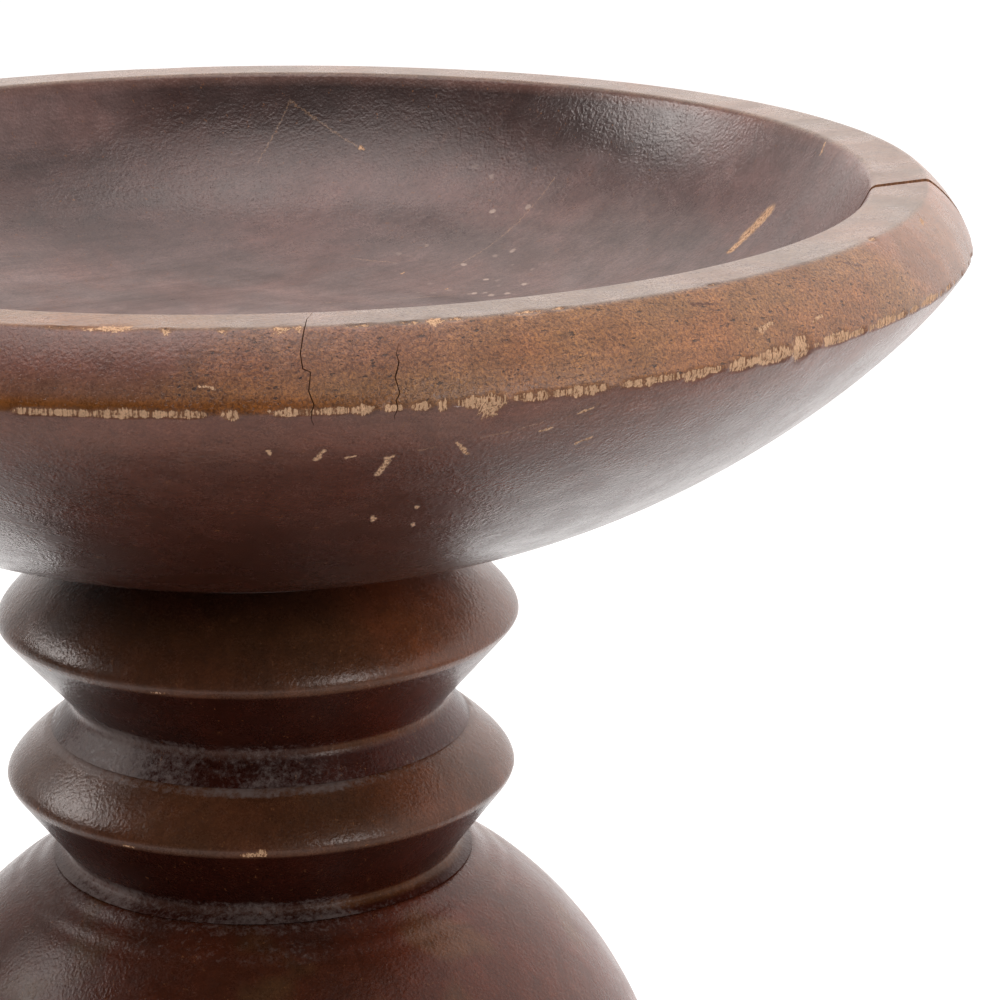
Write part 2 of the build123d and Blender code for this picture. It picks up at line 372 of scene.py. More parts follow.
def crack(piece, path, edge_height, top_height, width, depth):
    """Cuts a thin zigzag crack into piece, along (degrees, radius, height) points near its surface."""
    outside, inside = [], []
    for degrees, radius, height in path:
        spot = piece.closest_point_on_mesh(cylinder_point(degrees, radius, height))[1]
        outward = cylinder_point(degrees, 1, 0)
        upright = min(1, max(0, (height - edge_height) / (top_height - edge_height)))
        way = (outward * (1 - upright) + Vector((0, 0, 1)) * upright).normalized()
        outside.append(spot + way * CRACK_PROUD)
        inside.append(spot - way * depth)
    cutter = point_mesh("crack_cutter", outside[0])
    for here, there in zip(outside, outside[1:]):
        bpy.ops.mesh.extrude_vertices_move(TRANSFORM_OT_translate={"value": there - here})
    bpy.ops.mesh.select_all(action="SELECT")
    bpy.ops.mesh.extrude_edges_move(TRANSFORM_OT_translate={"value": (0, 0, -MM)})
    bpy.ops.object.mode_set(mode="OBJECT")
    vertices = cutter.data.vertices

    def nearest(place):
        return min(range(len(vertices)), key=lambda i: (vertices[i].co - place).length)

    tops = [nearest(place) for place in outside]
    lows = [nearest(place - Vector((0, 0, MM))) for place in outside]
    for low, place in zip(lows, inside):
        vertices[low].co = place
    group = cutter.vertex_groups.new(name="width")
    for order, pair in enumerate(zip(tops, lows)):
        from_end = min(order, len(tops) - 1 - order)
        share = min(1.0, 0.25 + 0.4 * from_end)  # of the crack's width, narrower near its ends
        group.add(list(pair), share, "REPLACE")
    leave_only(cutter)
    bpy.ops.object.modifier_add(type="SOLIDIFY")
    wall = cutter.modifiers[-1]
    wall.thickness = width
    wall.offset = 0
    wall.vertex_group = group.name
    bpy.ops.object.modifier_apply(modifier=wall.name)
    bpy.ops.object.mode_set(mode="EDIT")
    bpy.ops.mesh.select_all(action="SELECT")
    bpy.ops.mesh.normals_make_consistent(inside=False)
    bpy.ops.object.mode_set(mode="OBJECT")
    for material in piece.data.materials:
        cutter.data.materials.append(material)
    for polygon in cutter.data.polygons:
        polygon.material_index = 1
    leave_only(piece)
    bpy.ops.object.modifier_add(type="BOOLEAN")
    cut = piece.modifiers[-1]
    cut.operation = "DIFFERENCE"
    cut.solver = "EXACT"
    cut.object = cutter
    bpy.ops.object.modifier_apply(modifier=cut.name)
    bpy.data.objects.remove(cutter)


def ramp(values, low, high):
    """0 up to low, 1 from high, and smooth between them. low may be above high."""
    share = np.clip((values - low) / (high - low), 0, 1)
    return share * share * (3 - 2 * share)


def band(values, low, high, soft):
    """1 from low to high, and 0 from soft outside them."""
    return ramp(values, low - soft, low) * ramp(values, high + soft, high)


def blend(first, second, share):
    """Colours from first, where share is 0, to second, where it is 1."""
    return np.asarray(first) * (1 - share[:, None]) + np.asarray(second) * share[:, None]


def grain_noise(places, scale, seed, octaves=3):
    """Smooth noise from -1 to 1 at each place, with features about scale wide."""
    shift = Vector((seed * 17.3, seed * 5.9, seed * 11.1))
    return np.array([
        noise.fractal(Vector(p) / scale + shift, 0.9, 2.1, octaves) for p in places
    ])


class Survey:
    """Where a piece's vertices lie, as arrays."""

    def __init__(self, piece, turn=0.0):
        count = len(piece.data.vertices)
        places, normals = np.zeros(count * 3), np.zeros(count * 3)
        piece.data.vertices.foreach_get("co", places)
        piece.data.vertices.foreach_get("normal", normals)
        self.piece = piece
        self.places = places.reshape(-1, 3)
        self.normals = normals.reshape(-1, 3)
        x, y, self.height = self.places.T
        self.radius = np.hypot(x, y)
        self.degrees = np.degrees(np.arctan2(y, x))
        self.across = y * math.cos(turn) - x * math.sin(turn)
        self.upward = self.normals[:, 2]

    def push(self, inward):
        """Moves each vertex in along its normal."""
        self.move(self.normals * -inward[:, None])

    def press(self, inward, downward=0.0):
        """Moves each vertex towards the centre line, and down."""
        towards = -inward / np.maximum(self.radius, MM)
        down = np.broadcast_to(-downward, len(towards))
        self.move(np.stack([self.places[:, 0] * towards, self.places[:, 1] * towards, down], axis=1))

    def move(self, offsets):
        """Moves each vertex by its offset."""
        moved = self.places + offsets
        self.piece.data.vertices.foreach_set("co", moved.ravel())
        self.piece.data.update()

    def store(self, name, values):
        """Stores one number for all, or a number or colour for each vertex, in an attribute."""
        values = np.asarray(values, np.float32)
        if values.ndim < 2:
            store = self.piece.data.attributes.new(name, "FLOAT", "POINT")
            store.data.foreach_set("value", np.broadcast_to(values, len(self.height)).copy())
        else:
            store = self.piece.data.attributes.new(name, "FLOAT_COLOR", "POINT")
            opaque = np.ones((len(values), 1), np.float32)
            store.data.foreach_set("color", np.hstack([values, opaque]).ravel())


BITE, CHIPPED_RUN = 3.4 * MM, 21 * MM  # length of a single small chip, and of a chipped stretch


def edge_chips(survey, edge, above, below, amount, seed):
    """How far each vertex near a sharp edge, a (radius, height) point, is chipped, from 0 to 1.

    above and below say how far chips reach from the edge. amount is how much of the edge they take,
    as one number or one for each vertex."""
    rise = survey.height - edge[1]
    near = np.where(rise > 0, 1 - ramp(rise, 0.25 * above, above), 1 - ramp(-rise, 0.25 * below, below))
    near = near * ramp(survey.radius, edge[0] - 4 * MM, edge[0] - 2.5 * MM)
    touched = np.nonzero(near > 0.001)[0]
    chipped = np.zeros(len(near))
    if len(touched):
        flat = survey.places[touched] * (1, 1, 0.3)
        bites = grain_noise(flat, BITE, seed, 3)
        runs = grain_noise(flat * (1, 1, 0), CHIPPED_RUN, seed + 1, 2)
        start = 0.35 - np.broadcast_to(amount, len(near))[touched]
        bite = ramp(bites + 0.6 * runs - start, 0.0, 0.4)
        chipped[touched] = bite * near[touched]
    return chipped


def placed_chips(survey, edge, chips):
    """Larger chips at chosen places: (degrees, half width, reach above, reach below) in millimetres."""
    chipped = np.zeros(len(survey.height))
    for degrees, half, above, below in chips:
        sideways = np.radians(survey.degrees - degrees) * survey.radius / (half * MM)
        rise = (survey.height - edge[1]) / MM
        upright = np.where(rise > 0, rise / above, -rise / below)
        chipped = np.maximum(chipped, 1 - ramp(np.hypot(sideways, upright), 0.55, 1.25))
    return chipped * ramp(survey.radius, edge[0] - 5 * MM, edge[0] - 4 * MM)


def wobble(piece, amount, seed):
    """Takes the lathe-true look off: moves the surface in by up to amount, in broad soft patches."""
    survey = Survey(piece)
    broad = grain_noise(survey.places, 46 * MM, seed, 2)
    ripple = grain_noise(survey.places * (1, 1, 1.6), 11 * MM, seed + 3, 2)
    survey.push(np.clip(0.5 + 0.45 * broad + 0.14 * ripple, 0, 1) * amount)


def smooth(piece):
    """Shades piece smooth, but for its sharp edges."""
    leave_only(piece)
    bpy.ops.object.shade_smooth_by_angle(angle=math.radians(SHARP))


def stand_for(piece, node):
    """Puts piece in the place of its frame node."""
    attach(piece, "root")
    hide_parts(node)


# Materials

class Web:
    """Writes the nodes of a tree, one call for each node."""

    def __init__(self, tree):
        self.tree = tree

    def add(self, kind, settings=None, **inputs):
        """A node of that kind, with its settings, and its inputs by name or as _0, _1 by place."""
        node = self.tree.nodes.new(kind)
        for key, value in (settings or {}).items():
            setattr(node, key, value)
        for key, value in inputs.items():
            socket = node.inputs[int(key[1:])] if key[0] == "_" else node.inputs[key.replace("_", " ")]
            if isinstance(value, bpy.types.NodeSocket):
                self.tree.links.new(value, socket)
            elif isinstance(value, bpy.types.Node):
                self.tree.links.new(value.outputs[0], socket)
            else:
                socket.default_value = value
        return node

    def math(self, operation, first, second=0.0, third=0.0, clamped=False):
        """The result of a sum on numbers."""
        settings = {"operation": operation, "use_clamp": clamped}
        return self.add("ShaderNodeMath", settings, _0=first, _1=second, _2=third).outputs[0]

    def times(self, first, second):
        """The product of two numbers."""
        return self.math("MULTIPLY", first, second)

    def plus(self, first, second):
        """The sum of two numbers."""
        return self.math("ADD", first, second)

    def swing(self, value, strength):
        """A value about 0.5, turned into one about 0 and made stronger."""
        return self.times(self.math("SUBTRACT", value, 0.5), strength)

    def vector(self, operation, first, second=(0, 0, 0)):
        """The result of a sum on vectors."""
        return self.add("ShaderNodeVectorMath", {"operation": operation}, _0=first, _1=second).outputs[0]

    def smooth(self, value, low, high, start=0.0, end=1.0):
        """value carried from low..high to start..end, smoothly and with both ends held."""
        settings = {"interpolation_type": "SMOOTHSTEP"}
        return self.add(
            "ShaderNodeMapRange", settings, _0=value, _1=low, _2=high, _3=start, _4=end
        ).outputs[0]

    def mix(self, factor, first, second, blend="MIX"):
        """A colour between first and second."""
        node = self.add("ShaderNodeMix", {"data_type": "RGBA", "blend_type": blend}, _0=factor)
        for socket, value in ((node.inputs[6], first), (node.inputs[7], second)):
            if isinstance(value, bpy.types.NodeSocket):
                self.tree.links.new(value, socket)
            else:
                socket.default_value = (*value[:3], 1)
        return node.outputs[2]

    def scaled(self, colour, factor):
        """A colour times a number."""
        grey = self.add("ShaderNodeCombineXYZ", None, X=factor, Y=factor, Z=factor).outputs[0]
        return self.mix(1.0, colour, grey, "MULTIPLY")

    def noise(self, vector, scale, detail=3.0, roughness=0.55, distortion=0.0):
        """A noise value about 0 to 1, with scale features for each unit of vector."""
        return self.add(
            "ShaderNodeTexNoise", None, Vector=vector, Scale=scale, Detail=detail,
            Roughness=roughness, Distortion=distortion,
        ).outputs[0]

    def attribute(self, name, output="Fac"):
        """A number, or with output "Color" a colour, stored on the mesh."""
        return self.add("ShaderNodeAttribute", {"attribute_name": name}).outputs[output]


def new_material(name):
    """An empty node material with its web and its object coordinates in millimetres."""
    material = bpy.data.materials.new(name)
    material.use_nodes = True
    material.node_tree.nodes.clear()
    web = Web(material.node_tree)
    place = web.add("ShaderNodeTexCoord").outputs["Object"]
    place = web.add("ShaderNodeVectorMath", {"operation": "SCALE"}, Vector=place, Scale=1 / MM).outputs[0]
    return material, web, place


def output(web, shader):
    """Ends the web in its material output."""
    web.add("ShaderNodeOutputMaterial", None, Surface=shader)


def stroke_group():
    """A node group that adds a straight stroke to a trail: x and y are the plan, z the marks so far."""
    group = bpy.data.node_groups.get("stroke")
    if group:
        return group
    group = bpy.data.node_groups.new("stroke", "ShaderNodeTree")
    for name in ("Trail", "Start", "Way", "Over"):
        group.interface.new_socket(name, in_out="INPUT", socket_type="NodeSocketVector")
    for name in ("Core", "Width"):
        group.interface.new_socket(name, in_out="INPUT", socket_type="NodeSocketFloat")
    group.interface.new_socket("Trail", in_out="OUTPUT", socket_type="NodeSocketVector")
    web = Web(group)
    given = web.add("NodeGroupInput").outputs
    offset = web.vector("SUBTRACT", given["Trail"], given["Start"])
    dot = web.add("ShaderNodeVectorMath", {"operation": "DOT_PRODUCT"}, _0=offset, _1=given["Over"])
    share = web.math("MULTIPLY", dot.outputs["Value"], 1.0, clamped=True)
    reached = web.add("ShaderNodeVectorMath", {"operation": "SCALE"}, Vector=given["Way"], Scale=share)
    away = web.add(
        "ShaderNodeVectorMath", {"operation": "DISTANCE"}, _0=offset, _1=reached.outputs[0]
    ).outputs["Value"]
    mark = web.smooth(away, given["Core"], given["Width"], 1.0, 0.0)
    found = web.add("ShaderNodeCombineXYZ", None, X=-BEYOND, Y=-BEYOND, Z=mark).outputs[0]
    web.add("NodeGroupOutput", None, Trail=web.vector("MAXIMUM", given["Trail"], found))
    return group


def strokes(web, plan, marks):
    """Where any of the marks lies on plan. Each is (x, y, x end, y end, width) in millimetres."""
    trail = plan
    for x, y, end_x, end_y, width in marks:
        node = web.add(
            "ShaderNodeGroup", {"node_tree": stroke_group()}, Trail=trail, Core=0.4 * width, Width=width
        )
        way = Vector((end_x - x, end_y - y, 0))
        node.inputs["Start"].default_value = (x, y, 0)
        node.inputs["Way"].default_value = way
        node.inputs["Over"].default_value = way / way.length_squared
        trail = node.outputs[0]
    return web.add("ShaderNodeSeparateXYZ", None, Vector=trail).outputs[2]


# Patterns in the stained wood: (features in a millimetre, detail, roughness, distortion)
PATCHES = (0.045, 3, 0.55, 0.5)  # warmer and cooler patches
CLOUDS = (0.16, 4, 0.65, 0.6)  # darker and lighter stain
FIGURE = (0.16, 3, 0.6, 0.3)  # broad figure along the fibres
STREAKS = (0.8, 4, 0.65)  # fine streaks along the fibres
CURL = (2.3, 3, 0.75, 0.7)  # tight curl of the open grain
PITS = (3.1, 2, 0.6)  # the smallest pores
BLOCKS = (0.75, 2, 0.6)  # which blocks of fibre a chip takes
RAGGED = (1.1, 3, 0.65)  # a chip's ragged outline
TICKS = (2.8, 3, 0.7)  # single torn fibres
SPECKS = (0.9, 5, 0.8)  # specks of dust
GLOSS = (0.11, 3, 0.6)  # duller and shinier places
PEEL = (1.5, 2, 0.5)  # soft unevenness of the finish

# How those patterns show: from the first and second value to the third and fourth
STREAK_TONE = (0.25, 0.75, 0.88, 1.12)
CLOUD_TONE = (0.28, 0.72, 0.86, 1.15)
FIGURE_TONE = (0.3, 0.7, 0.93, 1.07)
PORE_WIDTHS = (0.30, 1.0, 0.02, 0.26)
SCRATCH_SHOW = (0.1, 0.9, 0.03, 0.26)
SPOT_SHAPE = (0.12, 0.26, 1.0, 0.0)
SPOT_SHOW = (0.35, 0.9, 0.0, 0.9)
POLISH = (0.3, 0.7, 0.17, 0.25)
PEEL_DEPTH = (0.3, 0.7, 0.05, 0.115)

COOL_PATCH, WARM_PATCH = (0.96, 1.01, 0.99), (1.06, 0.98, 0.93)
GREY_CURL, GOLD_CURL = (0.95, 0.96, 1.28), (1.05, 1.04, 0.84)
PALE_SPOT = (0.56, 0.44, 0.37)

# The fibres' stretch: (height squeezed where the grain is upright, length drawn out where it lies flat)
FIBRE_STRETCH = (0.07, 14)
PORE_STRETCH = (0.4, 2.4)


def stretched(web, grain, turn, stretch):
    """Places drawn out along the fibres, which are upright, or lie along turn."""
    squeeze, run = stretch
    if turn is None:
        return web.vector("MULTIPLY", grain, (1, 1, squeeze))
    lying = {"Vector": grain, "Rotation": (0, 0, turn), "Scale": (run, 1, 1)}
    return web.add("ShaderNodeMapping", {"vector_type": "TEXTURE"}, **lying).outputs[0]


def stain_colour(web, grain, fibre, cloud, curl, open_grain):
    """The mesh's stain with its patches, clouds, streaks and figure, speckled on open grain."""
    patches = web.smooth(web.noise(grain, *PATCHES), 0.36, 0.66)
    body = web.mix(1.0, web.attribute("stain", "Color"), web.mix(patches, COOL_PATCH, WARM_PATCH), "MULTIPLY")
    tone = web.smooth(web.noise(fibre, *STREAKS), *STREAK_TONE)
    tone = web.times(tone, web.smooth(cloud, *CLOUD_TONE))
    tone = web.times(tone, web.smooth(web.noise(fibre, *FIGURE), *FIGURE_TONE))
    curled = web.swing(curl, web.math("MULTIPLY_ADD", open_grain, 0.85, 0.28))
    body = web.scaled(body, web.times(tone, web.plus(curled, 1.0)))
    speckled = web.mix(1.0, body, web.mix(curl, GREY_CURL, GOLD_CURL), "MULTIPLY")
    return web.mix(open_grain, body, speckled)


def pore_mask(web, place, pore_place, open_grain):
    """Where the pores lie: single large ones of many widths, and the smallest in drifts."""
    bend = web.add("ShaderNodeTexNoise", None, Vector=place, Scale=2.6, Detail=2.0).outputs["Color"]
    bent = web.vector("ADD", pore_place, web.vector("MULTIPLY", bend, (0.45, 0.45, 0.45)))
    cells = web.add("ShaderNodeTexVoronoi", None, Vector=bent, Scale=1.15, Randomness=1.0)
    size = web.add("ShaderNodeSeparateColor", None, Color=cells.outputs["Color"]).outputs[0]
    wide = web.times(web.smooth(size, *PORE_WIDTHS), open_grain)
    pores = web.smooth(web.math("SUBTRACT", cells.outputs["Distance"], wide), -0.03, 0.03, 1.0, 0.0)
    pores = web.times(pores, web.smooth(wide, 0.02, 0.05))
    pits = web.times(web.smooth(web.noise(pore_place, *PITS), 0.60, 0.70), open_grain)
    return web.math("MAXIMUM", pores, web.times(pits, 0.6))


def mark_plan(web, place):
    """The plan that a dish's marks are drawn on, a little shaken, and the shake itself."""
    x, y, height = web.add("ShaderNodeSeparateXYZ", None, Vector=place).outputs
    degrees = web.times(web.math("ARCTAN2", y, x), math.degrees(DEGREE_WIDTH))
    outside = web.add("ShaderNodeCombineXYZ", None, X=degrees, Y=height).outputs[0]
    above = web.add("ShaderNodeCombineXYZ", None, X=web.plus(x, ASIDE), Y=y).outputs[0]
    inside = web.math("GREATER_THAN", web.attribute("inside"), 0.5)
    plan = web.add("ShaderNodeMix", {"data_type": "VECTOR"}, _0=inside, _4=outside, _5=above).outputs[1]
    shake = web.add("ShaderNodeTexNoise", None, Vector=place, Scale=1.1, Detail=4.0).outputs["Color"]
    shake = web.vector("MULTIPLY", web.vector("SUBTRACT", shake, (0.5, 0.5, 0.5)), (1.1, 1.1, 0))
    return web.vector("ADD", plan, shake), shake


def pale_spots(web, place, shake):
    """How much each place belongs to a pale round spot."""
    seeds = web.add("ShaderNodeTexVoronoi", None, Vector=web.vector("ADD", place, shake), Scale=0.30)
    chosen = web.add("ShaderNodeSeparateColor", None, Color=seeds.outputs["Color"]).outputs[0]
    spot = web.times(web.smooth(seeds.outputs["Distance"], *SPOT_SHAPE), web.smooth(chosen, *SPOT_SHOW))
    return web.times(spot, web.attribute("spots"))


def dust_mask(web, grain):
    """How much dust lies at each place, broken up into specks."""
    dust = web.attribute("dust")
    dusty = web.plus(dust, web.swing(web.noise(grain, *SPECKS), 2.4))
    return web.times(web.smooth(dusty, 0.35, 1.15), web.smooth(dust, 0.02, 0.2))


def stained_wood(name, wood, shift, turn=None, marks=None):
    """Stained hardwood. Its colour, with painted light and shade in it, chips, pores, dust and sheen come
    from what the mesh stores.

    The grain is upright, or runs along turn. marks holds lists of strokes for its "flecks", "scratches"
    and "dent_shades", the painted shade of small dents. Outside the dish their plan has an angle
    in degrees times DEGREE_WIDTH as x and the height as y. Inside it they are seen from above and lie
    ASIDE from there."""
    material, web, place = new_material(name)
    grain = web.vector("ADD", place, shift)
    fibre = stretched(web, grain, turn, FIBRE_STRETCH)
    pore_place = stretched(web, grain, turn, PORE_STRETCH)
    upright = web.vector("MULTIPLY", grain, (1, 1, 0.10))
    cloud = web.noise(grain, *CLOUDS)
    curl = web.smooth(web.noise(grain, *CURL), 0.28, 0.72)
    open_grain = web.attribute("pores")
    body = stain_colour(web, grain, fibre, cloud, curl, open_grain)
    pores = pore_mask(web, place, pore_place, open_grain)
    body = web.mix(web.times(pores, 0.72), body, wood.pore)

    chipped = web.attribute("chipped")
    ticks, ragged = web.noise(upright, *TICKS), web.noise(grain, *RAGGED)
    frayed = web.plus(web.swing(web.noise(upright, *BLOCKS), 2.2), web.swing(ragged, 0.8))
    frayed = web.plus(frayed, web.swing(ticks, 2.4))
    bare = web.smooth(web.plus(chipped, frayed), 0.60, 0.68)
    bare = web.times(bare, web.smooth(chipped, 0.10, 0.25))
    if marks:
        plan, shake = mark_plan(web, place)
        fleck = web.times(strokes(web, plan, marks["flecks"]), web.smooth(ragged, 0.24, 0.34))
        bare = web.math("MAXIMUM", bare, fleck)
        scratch = web.times(strokes(web, plan, marks["scratches"]), web.smooth(curl, *SCRATCH_SHOW))
        body = web.mix(scratch, body, wood.bare)
        body = web.mix(pale_spots(web, place, shake), body, PALE_SPOT)
        # painted shade: dark strokes in the underside's stain where small dents are; the dents themselves are
        # not modelled
        body = web.mix(web.times(strokes(web, plan, marks["dent_shades"]), 0.8), body, wood.under)
    fringe = web.plus(chipped, web.times(frayed, 0.6))
    body = web.mix(web.times(web.smooth(fringe, 0.34, 0.46), 0.8), body, wood.tear)
    darker_bare = tuple(0.82 * c for c in wood.bare)
    fresh = web.mix(web.smooth(curl, 0.3, 0.7), darker_bare, wood.bare)
    body = web.mix(bare, body, web.mix(web.smooth(ticks, 0.40, 0.50), wood.tear, fresh))
    dusty = dust_mask(web, grain)
    body = web.mix(web.times(dusty, 0.7), body, wood.dust)

    rough = web.smooth(web.noise(grain, *GLOSS), *POLISH)
    for dulled, amount in ((open_grain, 0.12), (bare, 0.35), (dusty, 0.30), (curl, 0.05)):
        rough = web.plus(rough, web.times(dulled, amount))
    rough = web.plus(rough, web.attribute("dull"))
    relief = web.times(web.noise(grain, *PEEL), web.smooth(cloud, *PEEL_DEPTH))
    relief = web.plus(relief, web.times(curl, web.math("MULTIPLY_ADD", open_grain, 0.014, 0.004)))
    relief = web.math("SUBTRACT", relief, web.times(pores, 0.12))
    relief = web.math("SUBTRACT", relief, web.times(bare, 0.15))
    relief = web.plus(relief, web.times(web.times(ticks, bare), 0.30))
    bump = web.add("ShaderNodeBump", None, Strength=1.0, Distance=MM, Height=relief)
    output(web, web.add(
        "ShaderNodeBsdfPrincipled", None, Base_Color=body, Roughness=rough, Normal=bump.outputs[0],
        IOR=1.5, Specular_IOR_Level=web.times(web.attribute("sheen"), 0.5),
    ))
    return material


def raw_wood(name, colour):
    """Dull wood inside a crack or an opened joint."""
    material, web, place = new_material(name)
    fibre = web.noise(web.vector("MULTIPLY", place, (1, 1, 0.2)), 2.0, 3, 0.6)
    body = web.scaled(colour, web.smooth(fibre, 0.3, 0.7, 0.5, 1.6))
    bump = web.add("ShaderNodeBump", None, Strength=0.6, Distance=0.1 * MM, Height=fibre)
    output(web, web.add(
        "ShaderNodeBsdfPrincipled", None, Base_Color=body, Roughness=0.85, Normal=bump.outputs[0]
    ))
    return material


def plain_material(name, colour, metallic, roughness, grain_scale):
    """A fine-grained finish for felt and metal."""
    material, web, place = new_material(name)
    fine = web.noise(place, grain_scale, 4, 0.7)
    body = web.scaled(colour, web.smooth(fine, 0.3, 0.7, 0.8, 1.2))
    rough = web.smooth(fine, 0.2, 0.8, roughness - 0.06, roughness + 0.06)
    bump = web.add("ShaderNodeBump", None, Strength=0.6, Distance=0.1 * MM, Height=fine)
    output(web, web.add(
        "ShaderNodeBsdfPrincipled", None, Base_Color=body, Roughness=rough, Metallic=metallic,
        Normal=bump.outputs[0],
    ))
    return material


# Marks and damage

DEGREE_WIDTH = 2.1  # a degree of the outside is drawn this many millimetres wide on its plan
ASIDE = 1000.0  # the inside's plan lies this far beside the outside's
BEYOND = 1e5  # farther than any place on a plan

# (degrees, half width, reach above the edge, reach below it)
EDGE_CHIPS = (
    (-104.5, 3.0, 0.6, 0.6), (-98.5, 6.5, 0.9, 0.7), (-94.5, 4.0, 0.8, 0.7), (-91.5, 1.5, 1.0, 1.2),
    (-88.0, 1.6, 0.9, 0.6), (-85.0, 3.0, 0.8, 0.6), (-83.0, 2.0, 0.9, 0.9), (-79.0, 2.0, 0.8, 0.8),
    (-77.5, 1.0, 0.9, 1.3), (-75.6, 1.2, 1.0, 1.4), (-74.2, 2.4, 1.2, 3.0), (-71.0, 3.0, 0.9, 1.0),
    (-67.5, 4.0, 0.9, 1.1), (-63.0, 3.5, 0.8, 0.9), (-58.5, 3.0, 0.8, 1.4), (-54.5, 3.0, 1.0, 1.2),
    (-51.0, 5.0, 1.6, 1.2), (-48.5, 2.6, 2.6, 1.8), (-44.5, 4.0, 1.4, 0.8), (-38.0, 5.0, 1.0, 0.6),
    (-30.0, 5.0, 1.0, 0.6), (20.0, 6.0, 1.0, 1.0), (64.0, 5.0, 1.2, 1.6), (118.0, 7.0, 0.9, 1.0),
    (155.0, 4.0, 1.4, 2.0), (-150.0, 6.0, 1.0, 1.2), (-125.0, 4.0, 1.1, 1.5),
)
# (degrees, half width, reach above the edge, reach below it)
KNOP_NICKS = {
    "knop_above_ball": ((-90.6, 1.1, 1.6, 0.3), (-93.4, 1.6, 0.9, 0.2), (120.0, 1.2, 1.2, 0.6)),
    "knop_under_dish": ((60.0, 1.0, 0.9, 0.5), (170.0, 1.3, 0.8, 0.6)),
    "knop_below_ball": ((-60.0, 1.2, 0.8, 0.8), (140.0, 1.1, 0.9, 0.5)),
    "knop_above_foot": ((-110.0, 1.3, 0.9, 0.7), (20.0, 1.0, 1.0, 0.5)),
}
# (degrees, half width, reach in over the rim, reach down the bevel)
RIM_CHIPS = (
    (-103.5, 3.0, 0.5, 0.5), (-100.5, 4.0, 0.9, 0.6), (-99.6, 3.2, 2.2, 0.6), (-96.0, 0.8, 0.4, 1.0),
    (-92.0, 1.0, 0.4, 0.7), (-88.0, 1.6, 0.9, 0.9), (-86.8, 0.6, 1.0, 0.8), (-82.5, 2.5, 0.5, 0.5),
    (-79.0, 2.5, 0.5, 0.5), (-77.2, 1.6, 1.4, 0.8), (-75.6, 1.6, 0.6, 0.5), (-70.0, 2.6, 0.9, 0.5),
    (-67.5, 1.6, 0.6, 0.4), (-54.0, 1.4, 0.5, 0.4), (-33.0, 1.2, 0.8, 0.6),
    (98.0, 3.0, 0.6, 0.5), (140.0, 2.0, 0.9, 0.7), (-160.0, 3.0, 0.7, 0.6), (-130.0, 2.0, 0.6, 0.6),
)
# shallow rings near each end of the ball: (distance from the centre line, depth, half width)
BALL_DIPS = ((43.0, 0.30, 1.3), (46.8, 0.20, 1.2))
CRACK_WIDTH, CRACK_DEPTH = 0.17 * MM, 1.5 * MM
CRACK_PROUD = 0.8 * MM  # how far the tool that cuts a crack stands out of the surface
# (degrees, radius, height over the edge)
CRACKS = (
    ((-85.3, 112.4, 11.0), (-86.0, 117.0, 11.0), (-86.3, 121.4, 11.0), (-86.5, 122.6, 9.9),
     (-86.8, 124.5, 7.4), (-86.7, 126.0, 5.4), (-86.2, 126.3, 5.0), (-86.4, 128.0, 2.7),
     (-86.1, 129.3, 1.0), (-86.3, 130.0, 0.0), (-86.3, 129.2, -1.0), (-86.1, 128.3, -2.2)),
    ((-80.0, 124.0, 8.1), (-80.3, 125.1, 6.9), (-80.2, 125.8, 5.7), (-80.6, 127.1, 3.9),
     (-80.4, 128.6, 1.9), (-80.7, 129.2, 1.1), (-80.6, 130.0, 0.0), (-80.8, 129.0, -1.2),
     (-80.7, 128.4, -2.0)),
)
# outside the dish: (degrees, rise over the edge, end degrees, end rise, width)
OUTSIDE_FLECKS = (
    (-89.1, -7.0, -89.0, -7.6, 0.40), (-85.3, -7.2, -85.5, -8.0, 0.45), (-85.6, -8.4, -85.8, -8.9, 0.60),
    (-83.7, -9.0, -82.9, -8.7, 0.25), (-81.1, -12.8, -80.6, -10.2, 0.65), (-80.8, -9.6, -80.3, -9.2, 0.35),
    (-75.9, -7.4, -74.8, -10.0, 0.40), (-80.4, -23.2, -80.2, -23.6, 0.60), (-77.0, -21.2, -76.9, -21.4, 0.45),
    (-76.5, -25.6, -76.3, -26.0, 0.45), (-67.4, -4.2, -66.4, -3.4, 0.28), (-69.8, -6.9, -69.0, -6.4, 0.30),
    (-66.2, -10.5, -65.1, -9.7, 0.25), (-93.6, 3.9, -92.6, 3.7, 0.25), (-52.0, 4.2, -50.8, 4.8, 0.50),
    (-46.5, 3.6, -45.4, 4.2, 0.30), (-23.0, 9.6, -22.2, 10.0, 0.35), (30.0, -14.0, 31.0, -16.0, 0.45),
    (120.0, 4.0, 121.0, 3.6, 0.30), (-140.0, -11.0, -139.2, -12.6, 0.40),
)
OUTSIDE_SCRATCHES = (
    (-71.5, -5.9, -69.9, -5.0, 0.18), (-78.6, -8.4, -77.3, -8.0, 0.18), (-74.2, -6.8, -72.0, -6.2, 0.16),
    (-20.5, 8.4, -20.9, 6.2, 0.26), (-66.0, -12.0, -64.0, -10.8, 0.14), (85.0, -9.0, 86.5, -10.0, 0.2),
)
# painted shade of small dents, drawn as dark strokes
OUTSIDE_DENT_SHADES = (
    (-57.0, 9.4, -55.2, 8.9, 0.22), (-40.0, 10.2, -37.5, 8.6, 0.18), (-51.0, -6.5, -49.5, -8.5, 0.22),
    (-77.4, 10.6, -77.9, 8.6, 0.13), (-19.0, 9.0, -18.0, 5.0, 0.12),
)
